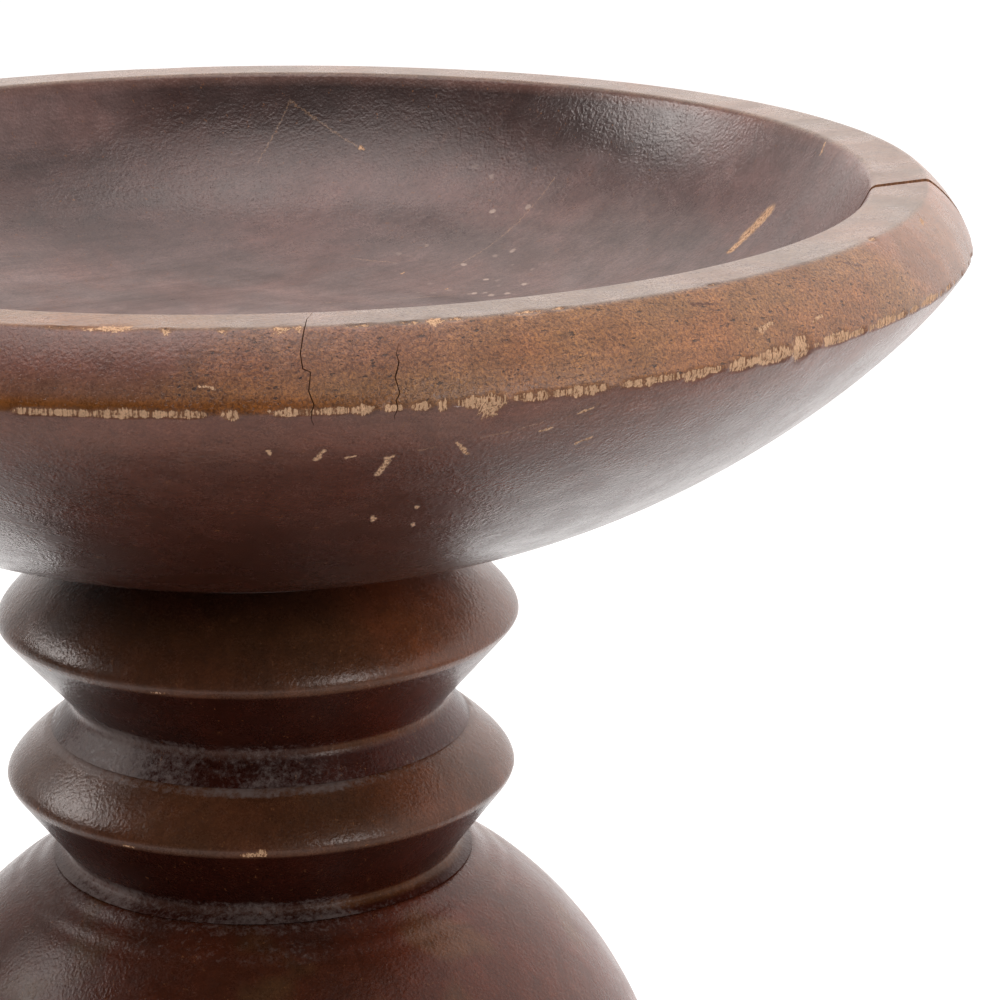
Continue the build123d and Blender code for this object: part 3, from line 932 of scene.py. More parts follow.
# inside the dish, seen from above: (x, y, x end, y end, width)
INSIDE_FLECKS = (
    (91.4, 25.2, 95.4, 26.2, 1.3), (94.5, 26.4, 98.2, 26.9, 2.0), (108.0, 23.8, 108.6, 24.3, 0.45),
    (23.2, 99.8, 24.2, 99.3, 0.40), (30.0, 60.0, 30.5, 60.6, 0.35), (38.0, 48.0, 38.5, 48.3, 0.30),
    (52.0, 30.0, 52.7, 30.8, 0.35),
)
INSIDE_SCRATCHES = (
    (9.0, 108.4, 16.0, 104.6, 0.22), (16.0, 104.6, 22.6, 100.2, 0.24), (2.0, 100.0, 9.0, 108.4, 0.20),
    (20.0, 70.0, 29.0, 66.0, 0.20), (14.0, 40.0, 40.0, 44.0, 0.18), (66.0, -8.0, 74.0, 2.0, 0.20),
    (-62.0, -20.0, -56.0, -34.0, 0.20), (40.0, 60.0, 62.0, 78.0, 0.22),
)


def dish_marks():
    """The dish's flecks, scratches and painted dent shades on the plan that its wood is drawn on."""
    edge = (DISH_HIGH.z - bpy.context.scene.candlestick_dish.rim_rise) / MM

    def outside(marks):
        return [(x * DEGREE_WIDTH, y + edge, end_x * DEGREE_WIDTH, end_y + edge, width)
                for x, y, end_x, end_y, width in marks]

    def inside(marks):
        return [(x + ASIDE, y, end_x + ASIDE, end_y, width) for x, y, end_x, end_y, width in marks]

    return {
        "flecks": outside(OUTSIDE_FLECKS) + inside(INSIDE_FLECKS),
        "scratches": outside(OUTSIDE_SCRATCHES) + inside(INSIDE_SCRATCHES),
        "dent_shades": outside(OUTSIDE_DENT_SHADES),
    }


# Operators

def dish_outline(size, stem):
    """Outline of the dish, from the top of the insert's pocket out and over to the floor."""
    radius, top, seat = DISH_HIGH.x, DISH_HIGH.z, DISH_LOW.z
    edge = (radius, top - size.rim_rise)
    outer = (radius - size.rim_bevel, top)
    inner = (outer[0] - size.rim_width, top)
    boss = (size.boss_radius, seat + size.boss_lip)
    floor = top - size.depth
    recess = seat + stem.recess_depth
    pocket = recess + stem.insert_depth
    hole = stem.spigot_radius + stem.recess_gap
    fine, middle, coarse = 0.45 * MM, 1.2 * MM, 3.6 * MM
    curve = [boss, (boss[0] + size.boss_run, boss[1] + size.boss_climb),
             (edge[0] - size.under_lean, edge[1] - size.under_drop), edge]
    under = [p for p in bezier(curve, coarse) if math.dist(p, edge) > 4 * MM]
    near_edge = [p for p in bezier(curve, fine) if math.dist(p, edge) < 2 * MM]
    under = joined(under, line(under[-1], near_edge[0], middle), near_edge)
    floor_end = (size.floor_radius, floor)
    wall = bezier([inner, (inner[0] - size.wall_lean, top - size.wall_drop),
                   (floor_end[0] + size.cove_run, floor), floor_end], coarse)
    bevel = arc(edge, outer, size.bevel_bulge, fine)
    bevel = bevel[:5] + bevel[5:-3:2] + bevel[-3:]
    worn = joined(under, bevel, softness=0.3 * MM, steps=2)
    worn = joined(worn, line(outer, inner, middle), softness=0.7 * MM, steps=3)
    worn = joined(worn, wall, softness=1.0 * MM, steps=5)
    insert = [(0, pocket), (stem.insert_radius, pocket), (stem.insert_radius, recess), (hole, recess)]
    boss_foot = (size.boss_radius, seat)
    return joined(
        insert + [(hole, seat)],
        [(hole, seat), (boss_foot[0] - 4 * MM, seat), (boss_foot[0] - MM, seat), boss_foot],
        [boss_foot, boss],
        worn,
        line(floor_end, (0, floor), 4 * MM),
    )


def dish_chips(survey, size):
    """How far each vertex of the dish is chipped."""
    edge = (DISH_HIGH.x, DISH_HIGH.z - size.rim_rise)
    outer = DISH_HIGH.x - size.rim_bevel
    run = band(survey.degrees, -106, -38, 8)
    chipped = edge_chips(survey, edge, 0.9 * MM, 0.7 * MM, 0.30 + 0.40 * run, 11)
    chipped = np.maximum(chipped, placed_chips(survey, edge, EDGE_CHIPS))
    over = (survey.radius - outer) / MM
    down = (DISH_HIGH.z - survey.height) / MM
    on_top = ramp(survey.radius, outer - 6 * MM, outer - 5 * MM) * ramp(down, 3.0, 2.0)
    for degrees, half, inward, below in RIM_CHIPS:
        sideways = np.radians(survey.degrees - degrees) * outer / (half * MM)
        away = np.hypot(sideways, np.maximum(-over / inward, down / below))
        chipped = np.maximum(chipped, on_top * (1 - ramp(away, 0.5, 1.3)))
    return chipped


# How the stain changes from place to place, as factors on its colour; some of them paint light and shade
PALE_BROWN = (1.1, 1.07, 1.0)  # brown boards, at the right
GOLDEN_LOWER_BEVEL = (0.85, 0.62, 0.25)
PINKER_UPPER_BEVEL = (0.98, 0.93, 1.18)
# painted shade on the bevel's left side
SHADED_LEFT_BEVEL = (0.70, 0.72, 0.78)
# painted light on the underside near its sharp edge
LIT_UNDER_EDGE = (1.9, 2.3, 2.4)
GOLDEN_RIM = (0.95, 0.72, 0.50)
TOP_OF_WALL = (1.15, 1.05, 0.95)
# painted sheen on the near part of the floor
PAINTED_SHEEN_FLOOR = (1.26, 1.50, 1.50)
# painted highlight along the knops' grooves, golden on the right
GOLDEN_GROOVE_HIGHLIGHT = (1.5, 1.3, 0.6)
RED_BALL, OLIVE_BALL = (0.78, 0.54, 0.56), (0.85, 0.95, 0.90)
# painted light on the ball's lit side
BALL_LIT_SIDE = (1.9, 1.6, 1.5)

# Where a change comes in round the piece: (none of it up to here, all of it from here), in degrees
TO_THE_RIGHT = (-60, -35)
TO_THE_LEFT = (-72, -104)
ROUND_THE_BACK = (-175, -150)
LIT_SIDE_FROM, LIT_SIDE_TO = (-80, -45), (150, 60)  # the side of knops and ball that gets painted light

# How much painted light each kind of knop gets on its lit side, how much it is rubbed along its edge, and how
# much it shines
KNOP_LIGHT_AND_WEAR = {"outer": (0.90, 0.30, 0.85), "inner": (0.45, 0.42, 0.65)}


def turned_to(colour, factors):
    """A colour times a factor for each of its channels."""
    return np.asarray(colour) * factors


def outside_stain(survey, size, wood, below, bevel, brown):
    """The dish's stain on its rim, its bevel and its underside, with painted light and shade."""
    degrees, edge = survey.degrees, DISH_HIGH.z - size.rim_rise
    rise, down = (survey.height - edge) / MM, (edge - survey.height) / MM
    kept = ramp(degrees, *ROUND_THE_BACK)
    browns = blend(wood.brown, turned_to(wood.brown, PALE_BROWN), ramp(degrees, *TO_THE_RIGHT))
    amber = blend(wood.amber, browns, brown)
    golden = turned_to(wood.amber, GOLDEN_LOWER_BEVEL)
    amber = blend(amber, golden, band(rise, 0.2, 1.2, 1.7) * ramp(degrees, -74, -88))
    pinker = 0.9 * ramp(rise, 2.5, 7) * ramp(degrees, -66, -82)
    amber = blend(amber, turned_to(amber, PINKER_UPPER_BEVEL), pinker)
    # painted shade: the bevel is darker towards the left
    amber = blend(amber, turned_to(amber, SHADED_LEFT_BEVEL), ramp(degrees, *TO_THE_LEFT) * kept)
    # painted shade and light: the underside darkens further in under the dish, and is painted lighter near
    # its sharp edge
    under = blend(wood.under, wood.painted_shade, ramp(down, 6, 42))
    under = blend(under, turned_to(wood.under, LIT_UNDER_EDGE), ramp(down, 12, 3))
    rim = blend(wood.rim, turned_to(wood.rim, GOLDEN_RIM), ramp(degrees, -84, -98) * kept)
    return blend(blend(rim, amber, bevel), under, below)


def inside_stain(survey, wood, near, swirl):
    """The dish's stain on its inner wall and floor, with painted shade, a painted highlight and a painted
    sheen.
    """
    stain = np.asarray(wood.inside)
    x, y = survey.places[:, 0], survey.places[:, 1]
    depth = (DISH_HIGH.z - survey.height) / MM
    # painted shade makes the wall darkest at the rear, and a painted highlight makes it lightest left of
    # there
    painted_shade_and_highlight = 0.95 - 0.57 * band(survey.degrees, 40, 97, 12) + 0.2 * ramp(survey.degrees, 97, 109)
    hollow = blend(turned_to(stain, TOP_OF_WALL), stain * painted_shade_and_highlight[:, None], ramp(depth, 0.6, 2.2))
    hollow = blend(hollow, stain, ramp(depth, 7, 20))
    # painted sheen: the near part of the floor is painted lighter
    hollow = blend(hollow, turned_to(hollow, PAINTED_SHEEN_FLOOR), near)
    hollow = hollow * (1 + 0.28 * swirl[:, None])
    # painted shade: a darker band on the far left of the cove and floor
    darker = ramp(x, 10 * MM, -35 * MM) * band(y, 78 * MM, 98 * MM, 14 * MM) * ramp(depth, 9, 15)
    return hollow * (1 - 0.42 * darker[:, None])


def store_dish(survey, size, wood):
    """Stores the dish's stain, with its painted light and shade, chips, pores and dust."""
    edge = DISH_HIGH.z - size.rim_rise
    outer = DISH_HIGH.x - size.rim_bevel
    inner = outer - size.rim_width
    down, depth = (edge - survey.height) / MM, (DISH_HIGH.z - survey.height) / MM
    inside = ramp(survey.radius, inner + 0.4 * MM, inner - 0.4 * MM) * ramp(survey.upward, 0.02, 0.10)
    inside = inside * ramp(survey.height, DISH_LOW.z + 30 * MM, DISH_LOW.z + 31 * MM)
    below = ramp(down, -0.1, 0.3)
    bevel = ramp(survey.radius, outer - 0.2 * MM, outer + 0.4 * MM) * (1 - below)
    half = size.brown_width / 2
    brown = band(survey.across, -half, half, 4 * MM)
    x, y = survey.places[:, 0], survey.places[:, 1]
    # where the painted sheen lies on the floor; the same place is also made duller
    near = ramp(y, 92 * MM, 52 * MM) * ramp(depth, 14, 24)
    way = 15 * MM / np.maximum(survey.radius, MM)
    swirl = grain_noise(np.stack([survey.radius, x * way, y * way], axis=1), 8 * MM, 75, 3)
    streak = grain_noise(survey.places * (1, 1, 0.4), 30 * MM, 70, 2)
    colour = outside_stain(survey, size, wood, below, bevel, brown)
    colour = blend(colour, inside_stain(survey, wood, near, swirl), inside)
    colour = blend(colour, wood.worn, 0.3 * band(down, 0.0, 0.6, 0.8))
    survey.store("stain", colour * (1 + 0.07 * streak[:, None]))
    survey.store("chipped", dish_chips(survey, size))
    rim_top = (1 - below) * (1 - bevel) * (1 - inside)
    pores = 0.95 * bevel * (1 - brown) + 0.35 * bevel * brown + 0.45 * rim_top
    survey.store("pores", pores + 0.08 * inside + 0.2 * below)
    survey.store("inside", inside)
    survey.store("sheen", 1.0 - 0.60 * rim_top)
    cluster = 1 - ramp(np.hypot(x - 46 * MM, (y - 60 * MM) / 1.6), 7 * MM, 22 * MM)
    survey.store("spots", cluster * inside)
    survey.store("dull", (0.12 * near + 0.08 * swirl * ramp(depth, 6, 16)) * inside)
    floor_dust = (0.34 * cluster + 0.20 * ramp(depth, 10, 24)) * inside
    survey.store("dust", floor_dust + 0.18 * band(down, 52, 56, 3) * below)


def sawn(blank, node, half, turn):
    """The front, middle or rear board for that node, sawn from blank along its two glue lines."""
    board = copied(blank, node + "_wood")
    if node.endswith("front"):
        board_cut(board, -half, turn, True)
    elif node.endswith("rear"):
        board_cut(board, half, turn, False)
    else:
        board_cut(board, half, turn, True)
        board_cut(board, -half, turn, False)
    return board


def mark_glued_faces(board, half, turn):
    """Gives a board's two glued faces its second material."""
    across = Vector((-math.sin(turn), math.cos(turn), 0))
    for polygon in board.data.polygons:
        from_line = abs(abs(polygon.center.dot(across)) - half)
        if abs(polygon.normal.dot(across)) > 0.98 and from_line < 2 * MM:
            polygon.material_index = 1


class CANDLESTICK_OT_dish(bpy.types.Operator):
    """Turn the dish, saw it into its three boards, crack and wear it"""

    bl_idname = "candlestick.dish"
    bl_label = "Dish"

    def execute(self, context):
        size, stem = context.scene.candlestick_dish, context.scene.candlestick_stem
        wood = context.scene.candlestick_wood
        stained = stained_wood("dish_wood", wood, DISH_GRAIN, size.board_turn, dish_marks())
        raw = raw_wood("opened_wood", wood.glue)
        blank = turned("dish_blank", dish_outline(size, stem), DISH_STEPS)
        wobble(blank, DISH_WOBBLE, 4)
        blank.data.materials.append(stained)
        blank.data.materials.append(raw)
        half, turn = size.board_width / 2, size.board_turn
        edge = DISH_HIGH.z - size.rim_rise
        opening = size.joint_gap / (DISH_HIGH.x - size.joint_end)
        for node in DISH_BOARDS:
            board = sawn(blank, node, half, turn)
            if node == "dish_board_front":
                board_cut(board, -half, turn, True, size.joint_end, -opening)
                for path in CRACKS:
                    surface = [(degrees, radius * MM, edge + rise * MM) for degrees, radius, rise in path]
                    crack(board, surface, edge, DISH_HIGH.z, CRACK_WIDTH, CRACK_DEPTH)
            survey = Survey(board)
            chipped = dish_chips(survey, size)
            on_rim = ramp(survey.height, edge + 6 * MM, edge + 8 * MM)
            survey.press(chipped * (0.38 - 0.18 * on_rim) * MM, chipped * on_rim * 0.2 * MM)
            mark_glued_faces(board, half, turn)
            store_dish(Survey(board, turn), size, wood)
            smooth(board)
            stand_for(board, node)
        bpy.data.objects.remove(blank)
        return {"FINISHED"}


def knop_outline(size, kind, low, high, up):
    """Outline of a knop from its joint on the ball's side, low, to its other end, high."""
    hole = size.spigot_radius + size.recess_gap
    fine = 0.5 * MM
    if kind == "outer":
        edge = (size.outer_radius, low + size.outer_edge * up)
        groove = (size.outer_groove_radius, low + size.outer_groove * up)
        shoulder = (size.outer_neck, edge[1] + size.outer_shoulder * up)
        drawn = (size.outer_radius + size.outer_reach, edge[1] + size.outer_rise * up)
        top = joined(line((size.outer_seat, high), shoulder, fine), bezier([shoulder, drawn, edge], fine))
        seam = (size.seam_radius, low)
    else:
        edge = (size.inner_radius, low + size.inner_edge * up)
        groove = (size.inner_groove_radius, low + size.inner_groove * up)
        drawn = (size.inner_radius + size.inner_reach, edge[1] + size.inner_rise * up)
        top = bezier([(size.seam_radius, high), drawn, edge], fine)
        seam = (size.ball_seam_radius, low)
    ends = sorted((low, high))
    spigot_top = ends[1] + size.spigot_height
    recess = ends[0] + size.recess_depth
    flare_soft = min(size.groove_softness, 0.45 * math.dist(groove, seam))
    cone = joined(line(edge, groove, fine), line(groove, seam, 0.4 * MM), softness=flare_soft)
    outside = joined(top, cone, softness=size.edge_softness)
    if up < 0:
        outside = outside[::-1]
    bore, spigot = size.bore_radius, size.spigot_radius
    top_face = [(bore, spigot_top), (spigot, spigot_top), (spigot, ends[1])]
    low_face = [(hole, ends[0]), (hole, recess), (bore, recess), (bore, spigot_top)]
    return top_face + outside + low_face


def store_knop(survey, size, wood, kind, low, high, up, seed):
    """Stores a knop's stain, with its painted light and shade, chips, pores and dust."""
    edge_radius = getattr(size, kind + "_radius")
    edge = low + getattr(size, kind + "_edge") * up
    groove = getattr(size, kind + "_groove")
    over = (survey.height - edge) * up / MM
    from_joint = (survey.height - low) * up / MM
    from_end = (high - survey.height) * up / MM
    outside = ramp(survey.radius, 30 * MM, 33 * MM)
    # painted shade: the lower cone, and on outer knops the part next to the dish or the foot, get the painted
    # shade stain
    cone = ramp(over, 0.0, -0.8)
    colour = blend(wood.knop, wood.painted_shade, cone)
    if kind == "outer":
        colour = blend(colour, wood.painted_shade, 0.6 * ramp(over, 8, 14))
    # painted light: the knop is painted lighter on one side
    lit_side = ramp(survey.degrees, *LIT_SIDE_FROM) * ramp(survey.degrees, *LIT_SIDE_TO)
    side_light, rubbing, shine = KNOP_LIGHT_AND_WEAR[kind]
    colour = blend(colour, turned_to(colour, (1 + side_light, 1 + 0.55 * side_light, 1 + 0.25 * side_light)), lit_side)
    colour = blend(colour, wood.worn, rubbing * band(over, -0.1, 0.8, 0.7))
    # painted highlight: a lighter line along the groove, in the worn edge's colour and golden on the right
    groove_highlight = 0.25 * band(from_joint - groove / MM, -0.6, 0.3, 0.6)
    golden = turned_to(wood.worn, GOLDEN_GROOVE_HIGHLIGHT)
    colour = blend(colour, blend(wood.worn, golden, ramp(survey.degrees, -85, -60)), groove_highlight)
    patch = grain_noise(survey.places, 15 * MM, seed, 3)
    survey.store("stain", colour * (1 + 0.22 * patch[:, None]))
    edge_point = (edge_radius, edge)
    chips = edge_chips(survey, edge_point, 0.5 * MM, 0.4 * MM, -0.15, seed + 1)
    placed = placed_chips(survey, edge_point, KNOP_NICKS[survey.piece.name.removesuffix("_wood")])
    survey.store("chipped", np.maximum(0.8 * chips, placed) * outside)
    survey.store("pores", 0.22 * outside)
    survey.store("sheen", shine - 0.42 * cone)
    runs = grain_noise(survey.places * (1, 1, 0), 16 * MM, seed + 5, 2)
    dusty_side = ramp(np.cos(np.radians(survey.degrees + 128)), 0.0, 0.9)
    seam_line = band(from_joint, 0.0, 0.3, 0.7) * (0.40 + 0.40 * dusty_side + 0.5 * runs)
    pool = band(from_joint, 0.5, groove / MM + 1.2, 1.4) * (0.74 * dusty_side + 0.5 * runs)
    dust = np.maximum(seam_line, pool)
    if kind == "inner":
        far_line = band(from_end, 0.1, 0.9, 0.7) * (0.52 + 0.30 * dusty_side + 0.5 * runs)
        dust = np.maximum(dust, far_line)
    survey.store("dust", np.clip(dust, 0, 1) * outside)


class CANDLESTICK_OT_knops(bpy.types.Operator):
    """Turn the four ring knops"""

    bl_idname = "candlestick.knops"
    bl_label = "Ring knops"

    def execute(self, context):
        size, wood = context.scene.candlestick_stem, context.scene.candlestick_wood
        joints = {
            "knop_under_dish": ("outer", 1), "knop_above_ball": ("inner", 1),
            "knop_below_ball": ("inner", -1), "knop_above_foot": ("outer", -1),
        }
        for seed, (node, (kind, up)) in enumerate(joints.items()):
            lowest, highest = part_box(node)
            ends = (lowest.z, highest.z - size.spigot_height)
            low, high = ends if up > 0 else ends[::-1]
            knop = turned(node + "_wood", knop_outline(size, kind, low, high, up), KNOP_STEPS)
            knop.data.materials.append(stained_wood(node + "_wood", wood, (11.0 * seed, 5.0, 40.0)))
            wobble(knop, KNOP_WOBBLE, 20 + seed)
            store_knop(Survey(knop), size, wood, kind, low, high, up, 30 + seed)
            smooth(knop)
            stand_for(knop, node)
        return {"FINISHED"}


class CANDLESTICK_OT_ball(bpy.types.Operator):
    """Turn the ball"""

    bl_idname = "candlestick.ball"
    bl_label = "Ball"

    def execute(self, context):
        size, wood = context.scene.candlestick_stem, context.scene.candlestick_wood
        low, high = BALL_LOW.z, BALL_HIGH.z - size.spigot_height
        hole = size.spigot_radius + size.recess_gap
        flat = size.ball_flat_radius
        half = (high - low) / 2
        radius = math.hypot(half, flat)
        middle = (low + high) / 2
        swing = math.asin(half / radius)
        outside = []
        for i in range(BALL_POINTS + 1):
            turn = swing * (1 - 2 * i / BALL_POINTS)
            out = radius * math.cos(turn) / MM
            dips = [dip * math.exp(-((out - place) / width) ** 2) for place, dip, width in BALL_DIPS]
            held = radius - sum(dips) * MM
            outside.append((held * math.cos(turn), middle + held * math.sin(turn)))
        hole_end = low + size.recess_depth
        spigot_top = high + size.spigot_height
        bore, spigot, shelf = size.bore_radius, size.spigot_radius, flat - 4 * MM
        top = [(bore, spigot_top), (spigot, spigot_top), (spigot, high), (shelf, high), outside[0]]
        base = [outside[-1], (shelf, low), (hole, low), (hole, hole_end), (bore, hole_end),
                (bore, spigot_top)]
        around = joined(top, outside, softness=0.5 * MM, steps=4)
        around = joined(around, base, softness=0.5 * MM, steps=4)
        ball = turned("ball_wood", around, BALL_STEPS)
        ball.data.materials.append(stained_wood("ball_wood", wood, BALL_GRAIN))
        wobble(ball, BALL_WOBBLE, 50)
        survey = Survey(ball)
        patch = grain_noise(survey.places, 17 * MM, 52, 3)
        red, olive = turned_to(wood.knop, RED_BALL), turned_to(wood.knop, OLIVE_BALL)
        colour = blend(red, olive, ramp(patch, 0.15, 0.6))
        # painted light: the ball is painted lighter on one side
        lit_side = ramp(survey.degrees, *LIT_SIDE_FROM) * ramp(survey.degrees, *LIT_SIDE_TO)
        colour = blend(colour, turned_to(colour, BALL_LIT_SIDE), lit_side)
        latitude = np.abs(survey.height - middle) / half
        # painted shade: the ball darkens at its ends, next to the knops
        colour = blend(colour, wood.painted_shade, 0.35 * ramp(latitude, 0.93, 1.0))
        survey.store("stain", colour * (1 + 0.18 * patch[:, None]))
        survey.store("chipped", 0.0)
        survey.store("pores", 0.20)
        survey.store("sheen", 0.68 - 0.42 * ramp(np.cos(np.radians(survey.degrees - 195)), 0.3, 0.95))
        down = (high - survey.height) / MM
        dusty_side = ramp(np.cos(np.radians(survey.degrees + 115)), -0.3, 0.9)
        runs = grain_noise(survey.places * (1, 1, 0.2), 16 * MM, 55, 2)
        ring = band(down, 0.3, 0.9, 0.8) * (0.12 + 0.4 * dusty_side)
        ring = ring + band(down, 2.6, 4.2, 2.0) * (0.12 + 0.26 * dusty_side)
        survey.store("dust", np.clip(ring * (1 + 0.5 * runs), 0, 1) * ramp(survey.radius, 34 * MM, 36 * MM))
        smooth(ball)
        stand_for(ball, "ball")
        return {"FINISHED"}


class CANDLESTICK_OT_foot(bpy.types.Operator):
    """Turn the foot and saw it into its three boards"""

    bl_idname = "candlestick.foot"
    bl_label = "Foot"

    def execute(self, context):
        size, stem = context.scene.candlestick_foot, context.scene.candlestick_stem
        dish, wood = context.scene.candlestick_dish, context.scene.candlestick_wood
        low, high = FOOT_LOW.z, FOOT_HIGH.z - stem.spigot_height
        edge = (FOOT_HIGH.x, low + size.rise)
        boss = (size.boss_radius, high - size.boss_lip)
        base = (edge[0] - size.bevel, low)
        pocket, spigot_top = low + size.counterbore_depth, high + stem.spigot_height
        bore, spigot, well = stem.bore_radius, stem.spigot_radius, size.counterbore_radius
        bevel = line(base, edge, 0.5 * MM)
        over = arc(edge, boss, size.bulge, 1.4 * MM)
        worn = joined(bevel, over, softness=0.4 * MM, steps=3)
        outline = joined(
            [(bore, spigot_top), (bore, pocket), (well, pocket), (well, low)],
            line((well, low), base, 9 * MM),
            worn,
            [boss, (size.boss_radius, high)],
            [(size.boss_radius, high), (spigot, high), (spigot, spigot_top), (bore, spigot_top)],
        )
        blank = turned("foot_blank", outline, FOOT_STEPS)
        blank.data.materials.append(stained_wood("foot_wood", wood, FOOT_GRAIN, dish.board_turn))
        wobble(blank, FOOT_WOBBLE, 61)
        half = dish.board_width / 2
        for node in FOOT_BOARDS:
            board = sawn(blank, node, half, dish.board_turn)
            survey = Survey(board)
            chips = np.maximum(
                edge_chips(survey, edge, 0.9 * MM, 0.8 * MM, 0.35, 62),
                edge_chips(survey, base, 0.8 * MM, 0.4 * MM, 0.20, 64),
            )
            survey.press(chips * 0.3 * MM)
            survey = Survey(board, dish.board_turn)
            rise = (survey.height - edge[1]) / MM
            half_brown = dish.brown_width / 2 - (DISH_HIGH.x - FOOT_HIGH.x)
            brown = band(survey.across, -half_brown, half_brown, 1.2 * MM)
            # painted shade: the top of the foot darkens higher up, towards the knop above it
            upper = blend(np.asarray(wood.knop) * 1.15, wood.painted_shade, 0.5 * ramp(rise, 15, 40))
            bevel_colour = blend(np.asarray(wood.amber) * 0.55, np.asarray(wood.brown) * 0.5, brown)
            colour = blend(bevel_colour, upper, ramp(rise, -0.4, 0.6))
            colour = blend(colour, wood.worn, 0.5 * band(rise, -0.3, 0.5, 0.8))
            patch = grain_noise(survey.places, 24 * MM, 66, 2)
            survey.store("stain", colour * (1 + 0.2 * patch[:, None]))
            survey.store("chipped", chips)
            survey.store("pores", 0.5 * ramp(rise, 0.0, -0.6) + 0.2)
            survey.store("sheen", 1.0)
            settled = ramp(survey.upward, 0.3, 0.95) * (0.30 + 0.3 * patch)
            ring = band((high - survey.height) / MM, -0.2, 1.6, 1.2) * 0.55
            survey.store("dust", np.clip(np.maximum(settled, ring), 0, 1))
            smooth(board)
            stand_for(board, node)
        bpy.data.objects.remove(blank)
        return {"FINISHED"}


class CANDLESTICK_OT_felt(bpy.types.Operator):
    """Cut the felt that the foot stands on"""

    bl_idname = "candlestick.felt"
    bl_label = "Felt"

    def execute(self, context):
        radius, low, high = FELT_HIGH.x, FELT_LOW.z, FELT_HIGH.z
        outline = joined(
            line((0, low), (radius, low), 4 * MM), line((radius, low), (radius, high), 0.4 * MM),
            line((radius, high), (0, high), 4 * MM), softness=0.6 * MM,
        )
        felt = turned("felt_disc_cloth", outline, FELT_STEPS)
        felt.data.materials.append(plain_material("felt", FELT_COLOUR, 0.0, 0.93, 3.0))
        smooth(felt)
        stand_for(felt, "felt_disc")
        return {"FINISHED"}


class CANDLESTICK_OT_hardware(bpy.types.Operator):
    """Finish the rod, nut, washers and insert"""

    bl_idname = "candlestick.hardware"
    bl_label = "Tie-rod hardware"

    def execute(self, context):
        zinc = plain_material("zinc_plate", ZINC_COLOUR, 1.0, 0.34, 5.0)
        brass = plain_material("insert_brass", BRASS_COLOUR, 1.0, 0.30, 5.0)
        for node in ("tie_rod", "flat_washer", "spring_washer", "hex_nut", "threaded_insert"):
            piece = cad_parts[node]
            piece.data.materials.clear()
            piece.data.materials.append(brass if node == "threaded_insert" else zinc)
        return {"FINISHED"}


# (name, place, width, height, watts), in metres
SOFT_BOXES = (
    ("soft_box_left", (-1.29, 0.347, 1.08), 0.78, 0.56, 11.5),
    ("soft_box_right", (0.78, -0.98, 0.82), 0.40, 0.45, 4.6),
    ("soft_box_top", (-0.25, 0.0, 1.90), 1.20, 1.20, 13.0),
)
BRIGHT_WAY = (0.62, 0.78, 0)  # the light tent is brightest this way, behind and to the right
FLOOR_GREY, FLOOR_GLOW = 0.55, 0.72  # together they show the camera a white floor


def lamp(name, place, target, width, height, energy, colour):
    """A soft box at place that faces target."""
    bpy.ops.object.light_add(type="AREA", location=place)
    light = bpy.context.object
    light.name = name
    light.data.shape = "RECTANGLE"
    light.data.size = width
    light.data.size_y = height
    light.data.energy = energy
    light.data.color = colour
    light.rotation_euler = (Vector(target) - Vector(place)).to_track_quat("-Z", "Y").to_euler()
    return light


def light_tent(size):
    """A world that is bright behind and beside the piece, dim in front, and white to the camera."""
    world = bpy.data.worlds.new("light_tent")
    world.use_nodes = True
    world.node_tree.nodes.clear()
    web = Web(world.node_tree)
    way = web.add("ShaderNodeTexCoord").outputs["Generated"]
    behind = web.add("ShaderNodeVectorMath", {"operation": "DOT_PRODUCT"}, _0=way, _1=BRIGHT_WAY)
    glow = web.smooth(behind.outputs["Value"], -0.35, 0.85, size.front_light, size.back_light)
    seen = web.add("ShaderNodeLightPath").outputs["Is Camera Ray"]
    lit = web.add("ShaderNodeBackground", None, Color=(*size.light_tint, 1), Strength=glow)
    white = web.add("ShaderNodeBackground", None, Color=(1, 1, 1, 1), Strength=1.0)
    shown = web.add("ShaderNodeMixShader", None, _0=seen, _1=lit, _2=white)
    web.add("ShaderNodeOutputWorld", None, Surface=shown)
    return world


def white_floor(size):
    """A pale floor that the camera and reflections see as white, but for the piece's shadow."""
    bpy.ops.object.select_all(action="DESELECT")
    bpy.ops.mesh.primitive_plane_add(size=size.floor_size, location=(0, 0, CAD_LOW.z - 0.05 * MM))
    floor = bpy.context.object
    floor.name = "floor"
    bpy.ops.object.transform_apply(location=True)
    material = bpy.data.materials.new("floor")
    material.use_nodes = True
    material.node_tree.nodes.clear()
    web = Web(material.node_tree)
    path = web.add("ShaderNodeLightPath").outputs
    place = web.add("ShaderNodeTexCoord").outputs["Object"]
    behind = web.smooth(web.add("ShaderNodeSeparateXYZ", None, Vector=place).outputs[1], -0.05, 0.3)
    mirrored = web.times(web.math("MAXIMUM", path["Is Glossy Ray"], path["Is Transmission Ray"]), behind)
    seen = web.math("MULTIPLY_ADD", path["Is Camera Ray"], FLOOR_GLOW, mirrored)
    diffuse = web.add("ShaderNodeBsdfDiffuse", None, Color=(FLOOR_GREY, FLOOR_GREY, FLOOR_GREY, 1))
    glow = web.add("ShaderNodeEmission", None, Color=(1, 1, 1, 1), Strength=seen)
    output(web, web.add("ShaderNodeAddShader", None, _0=diffuse, _1=glow))
    floor.data.materials.append(material)


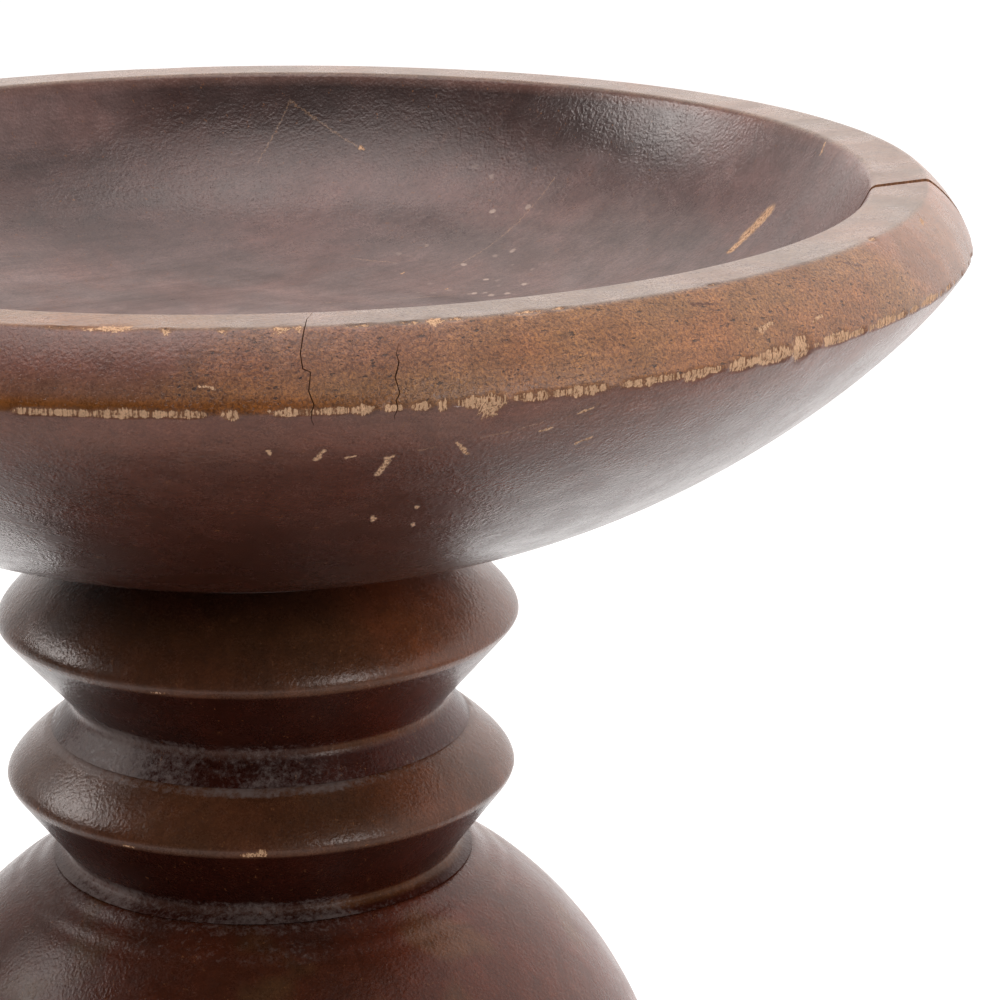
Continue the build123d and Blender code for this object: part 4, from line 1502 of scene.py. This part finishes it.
class CANDLESTICK_OT_stage(bpy.types.Operator):
    """Set up the floor, the world, the lamps and the camera"""

    bl_idname = "candlestick.stage"
    bl_label = "Stage"

    def execute(self, context):
        scene = context.scene
        size = scene.candlestick_stage
        scene.view_settings.view_transform = "Standard"
        white_floor(size)
        scene.world = light_tent(size)
        dish_place = (0, 0, DISH_HIGH.z - 40 * MM)
        for name, place, width, height, watts in SOFT_BOXES:
            lamp(name, place, dish_place, width, height, watts, size.light_tint)

        bpy.ops.object.camera_add()
        camera = bpy.context.object
        yaw, pitch, roll = size.camera_yaw, size.camera_pitch, size.camera_roll
        level = math.cos(pitch)
        forward = Vector((math.sin(yaw) * level, math.cos(yaw) * level, -math.sin(pitch)))
        right = Vector((math.cos(yaw), -math.sin(yaw), 0))
        up = right.cross(forward)
        side = math.cos(roll) * right + math.sin(roll) * up
        head = math.cos(roll) * up - math.sin(roll) * right
        turn = Matrix((side, head, -forward)).transposed().to_4x4()
        edge_height = DISH_HIGH.z - scene.candlestick_dish.rim_rise
        place = (0, -size.camera_distance, edge_height + size.camera_height)
        camera.matrix_world = Matrix.Translation(place) @ turn
        camera.data.lens = size.lens
        camera.data.sensor_width = 36
        camera.data.clip_start = 10 * MM
        scene.camera = camera
        return {"FINISHED"}


class CANDLESTICK_PT_panel(bpy.types.Panel):
    """Lists the candlestick's pieces"""

    bl_label = "Candlestick"
    bl_idname = "CANDLESTICK_PT_panel"
    bl_space_type = "VIEW_3D"
    bl_region_type = "UI"
    bl_category = "Candlestick"

    def draw(self, context):
        for operator in OPERATORS:
            self.layout.operator(operator.bl_idname)


GROUPS = {
    "candlestick_dish": CandlestickDish,
    "candlestick_stem": CandlestickStem,
    "candlestick_foot": CandlestickFoot,
    "candlestick_wood": CandlestickWood,
    "candlestick_stage": CandlestickStage,
}
OPERATORS = (
    CANDLESTICK_OT_stage,
    CANDLESTICK_OT_dish,
    CANDLESTICK_OT_knops,
    CANDLESTICK_OT_ball,
    CANDLESTICK_OT_foot,
    CANDLESTICK_OT_felt,
    CANDLESTICK_OT_hardware,
)


def register():
    """Registers the property groups, the operators and the panel."""
    for name, group in GROUPS.items():
        bpy.utils.register_class(group)
        setattr(bpy.types.Scene, name, PointerProperty(type=group))
    for operator in OPERATORS:
        bpy.utils.register_class(operator)
    bpy.utils.register_class(CANDLESTICK_PT_panel)


def unregister():
    """Takes them away again."""
    bpy.utils.unregister_class(CANDLESTICK_PT_panel)
    for operator in reversed(OPERATORS):
        bpy.utils.unregister_class(operator)
    for name, group in reversed(GROUPS.items()):
        delattr(bpy.types.Scene, name)
        bpy.utils.unregister_class(group)


def main():
    """Makes the candlestick and its stage."""
    register()
    bpy.ops.candlestick.stage()
    bpy.ops.candlestick.dish()
    bpy.ops.candlestick.knops()
    bpy.ops.candlestick.ball()
    bpy.ops.candlestick.foot()
    bpy.ops.candlestick.felt()
    bpy.ops.candlestick.hardware()


if __name__ == "__main__":
    main()
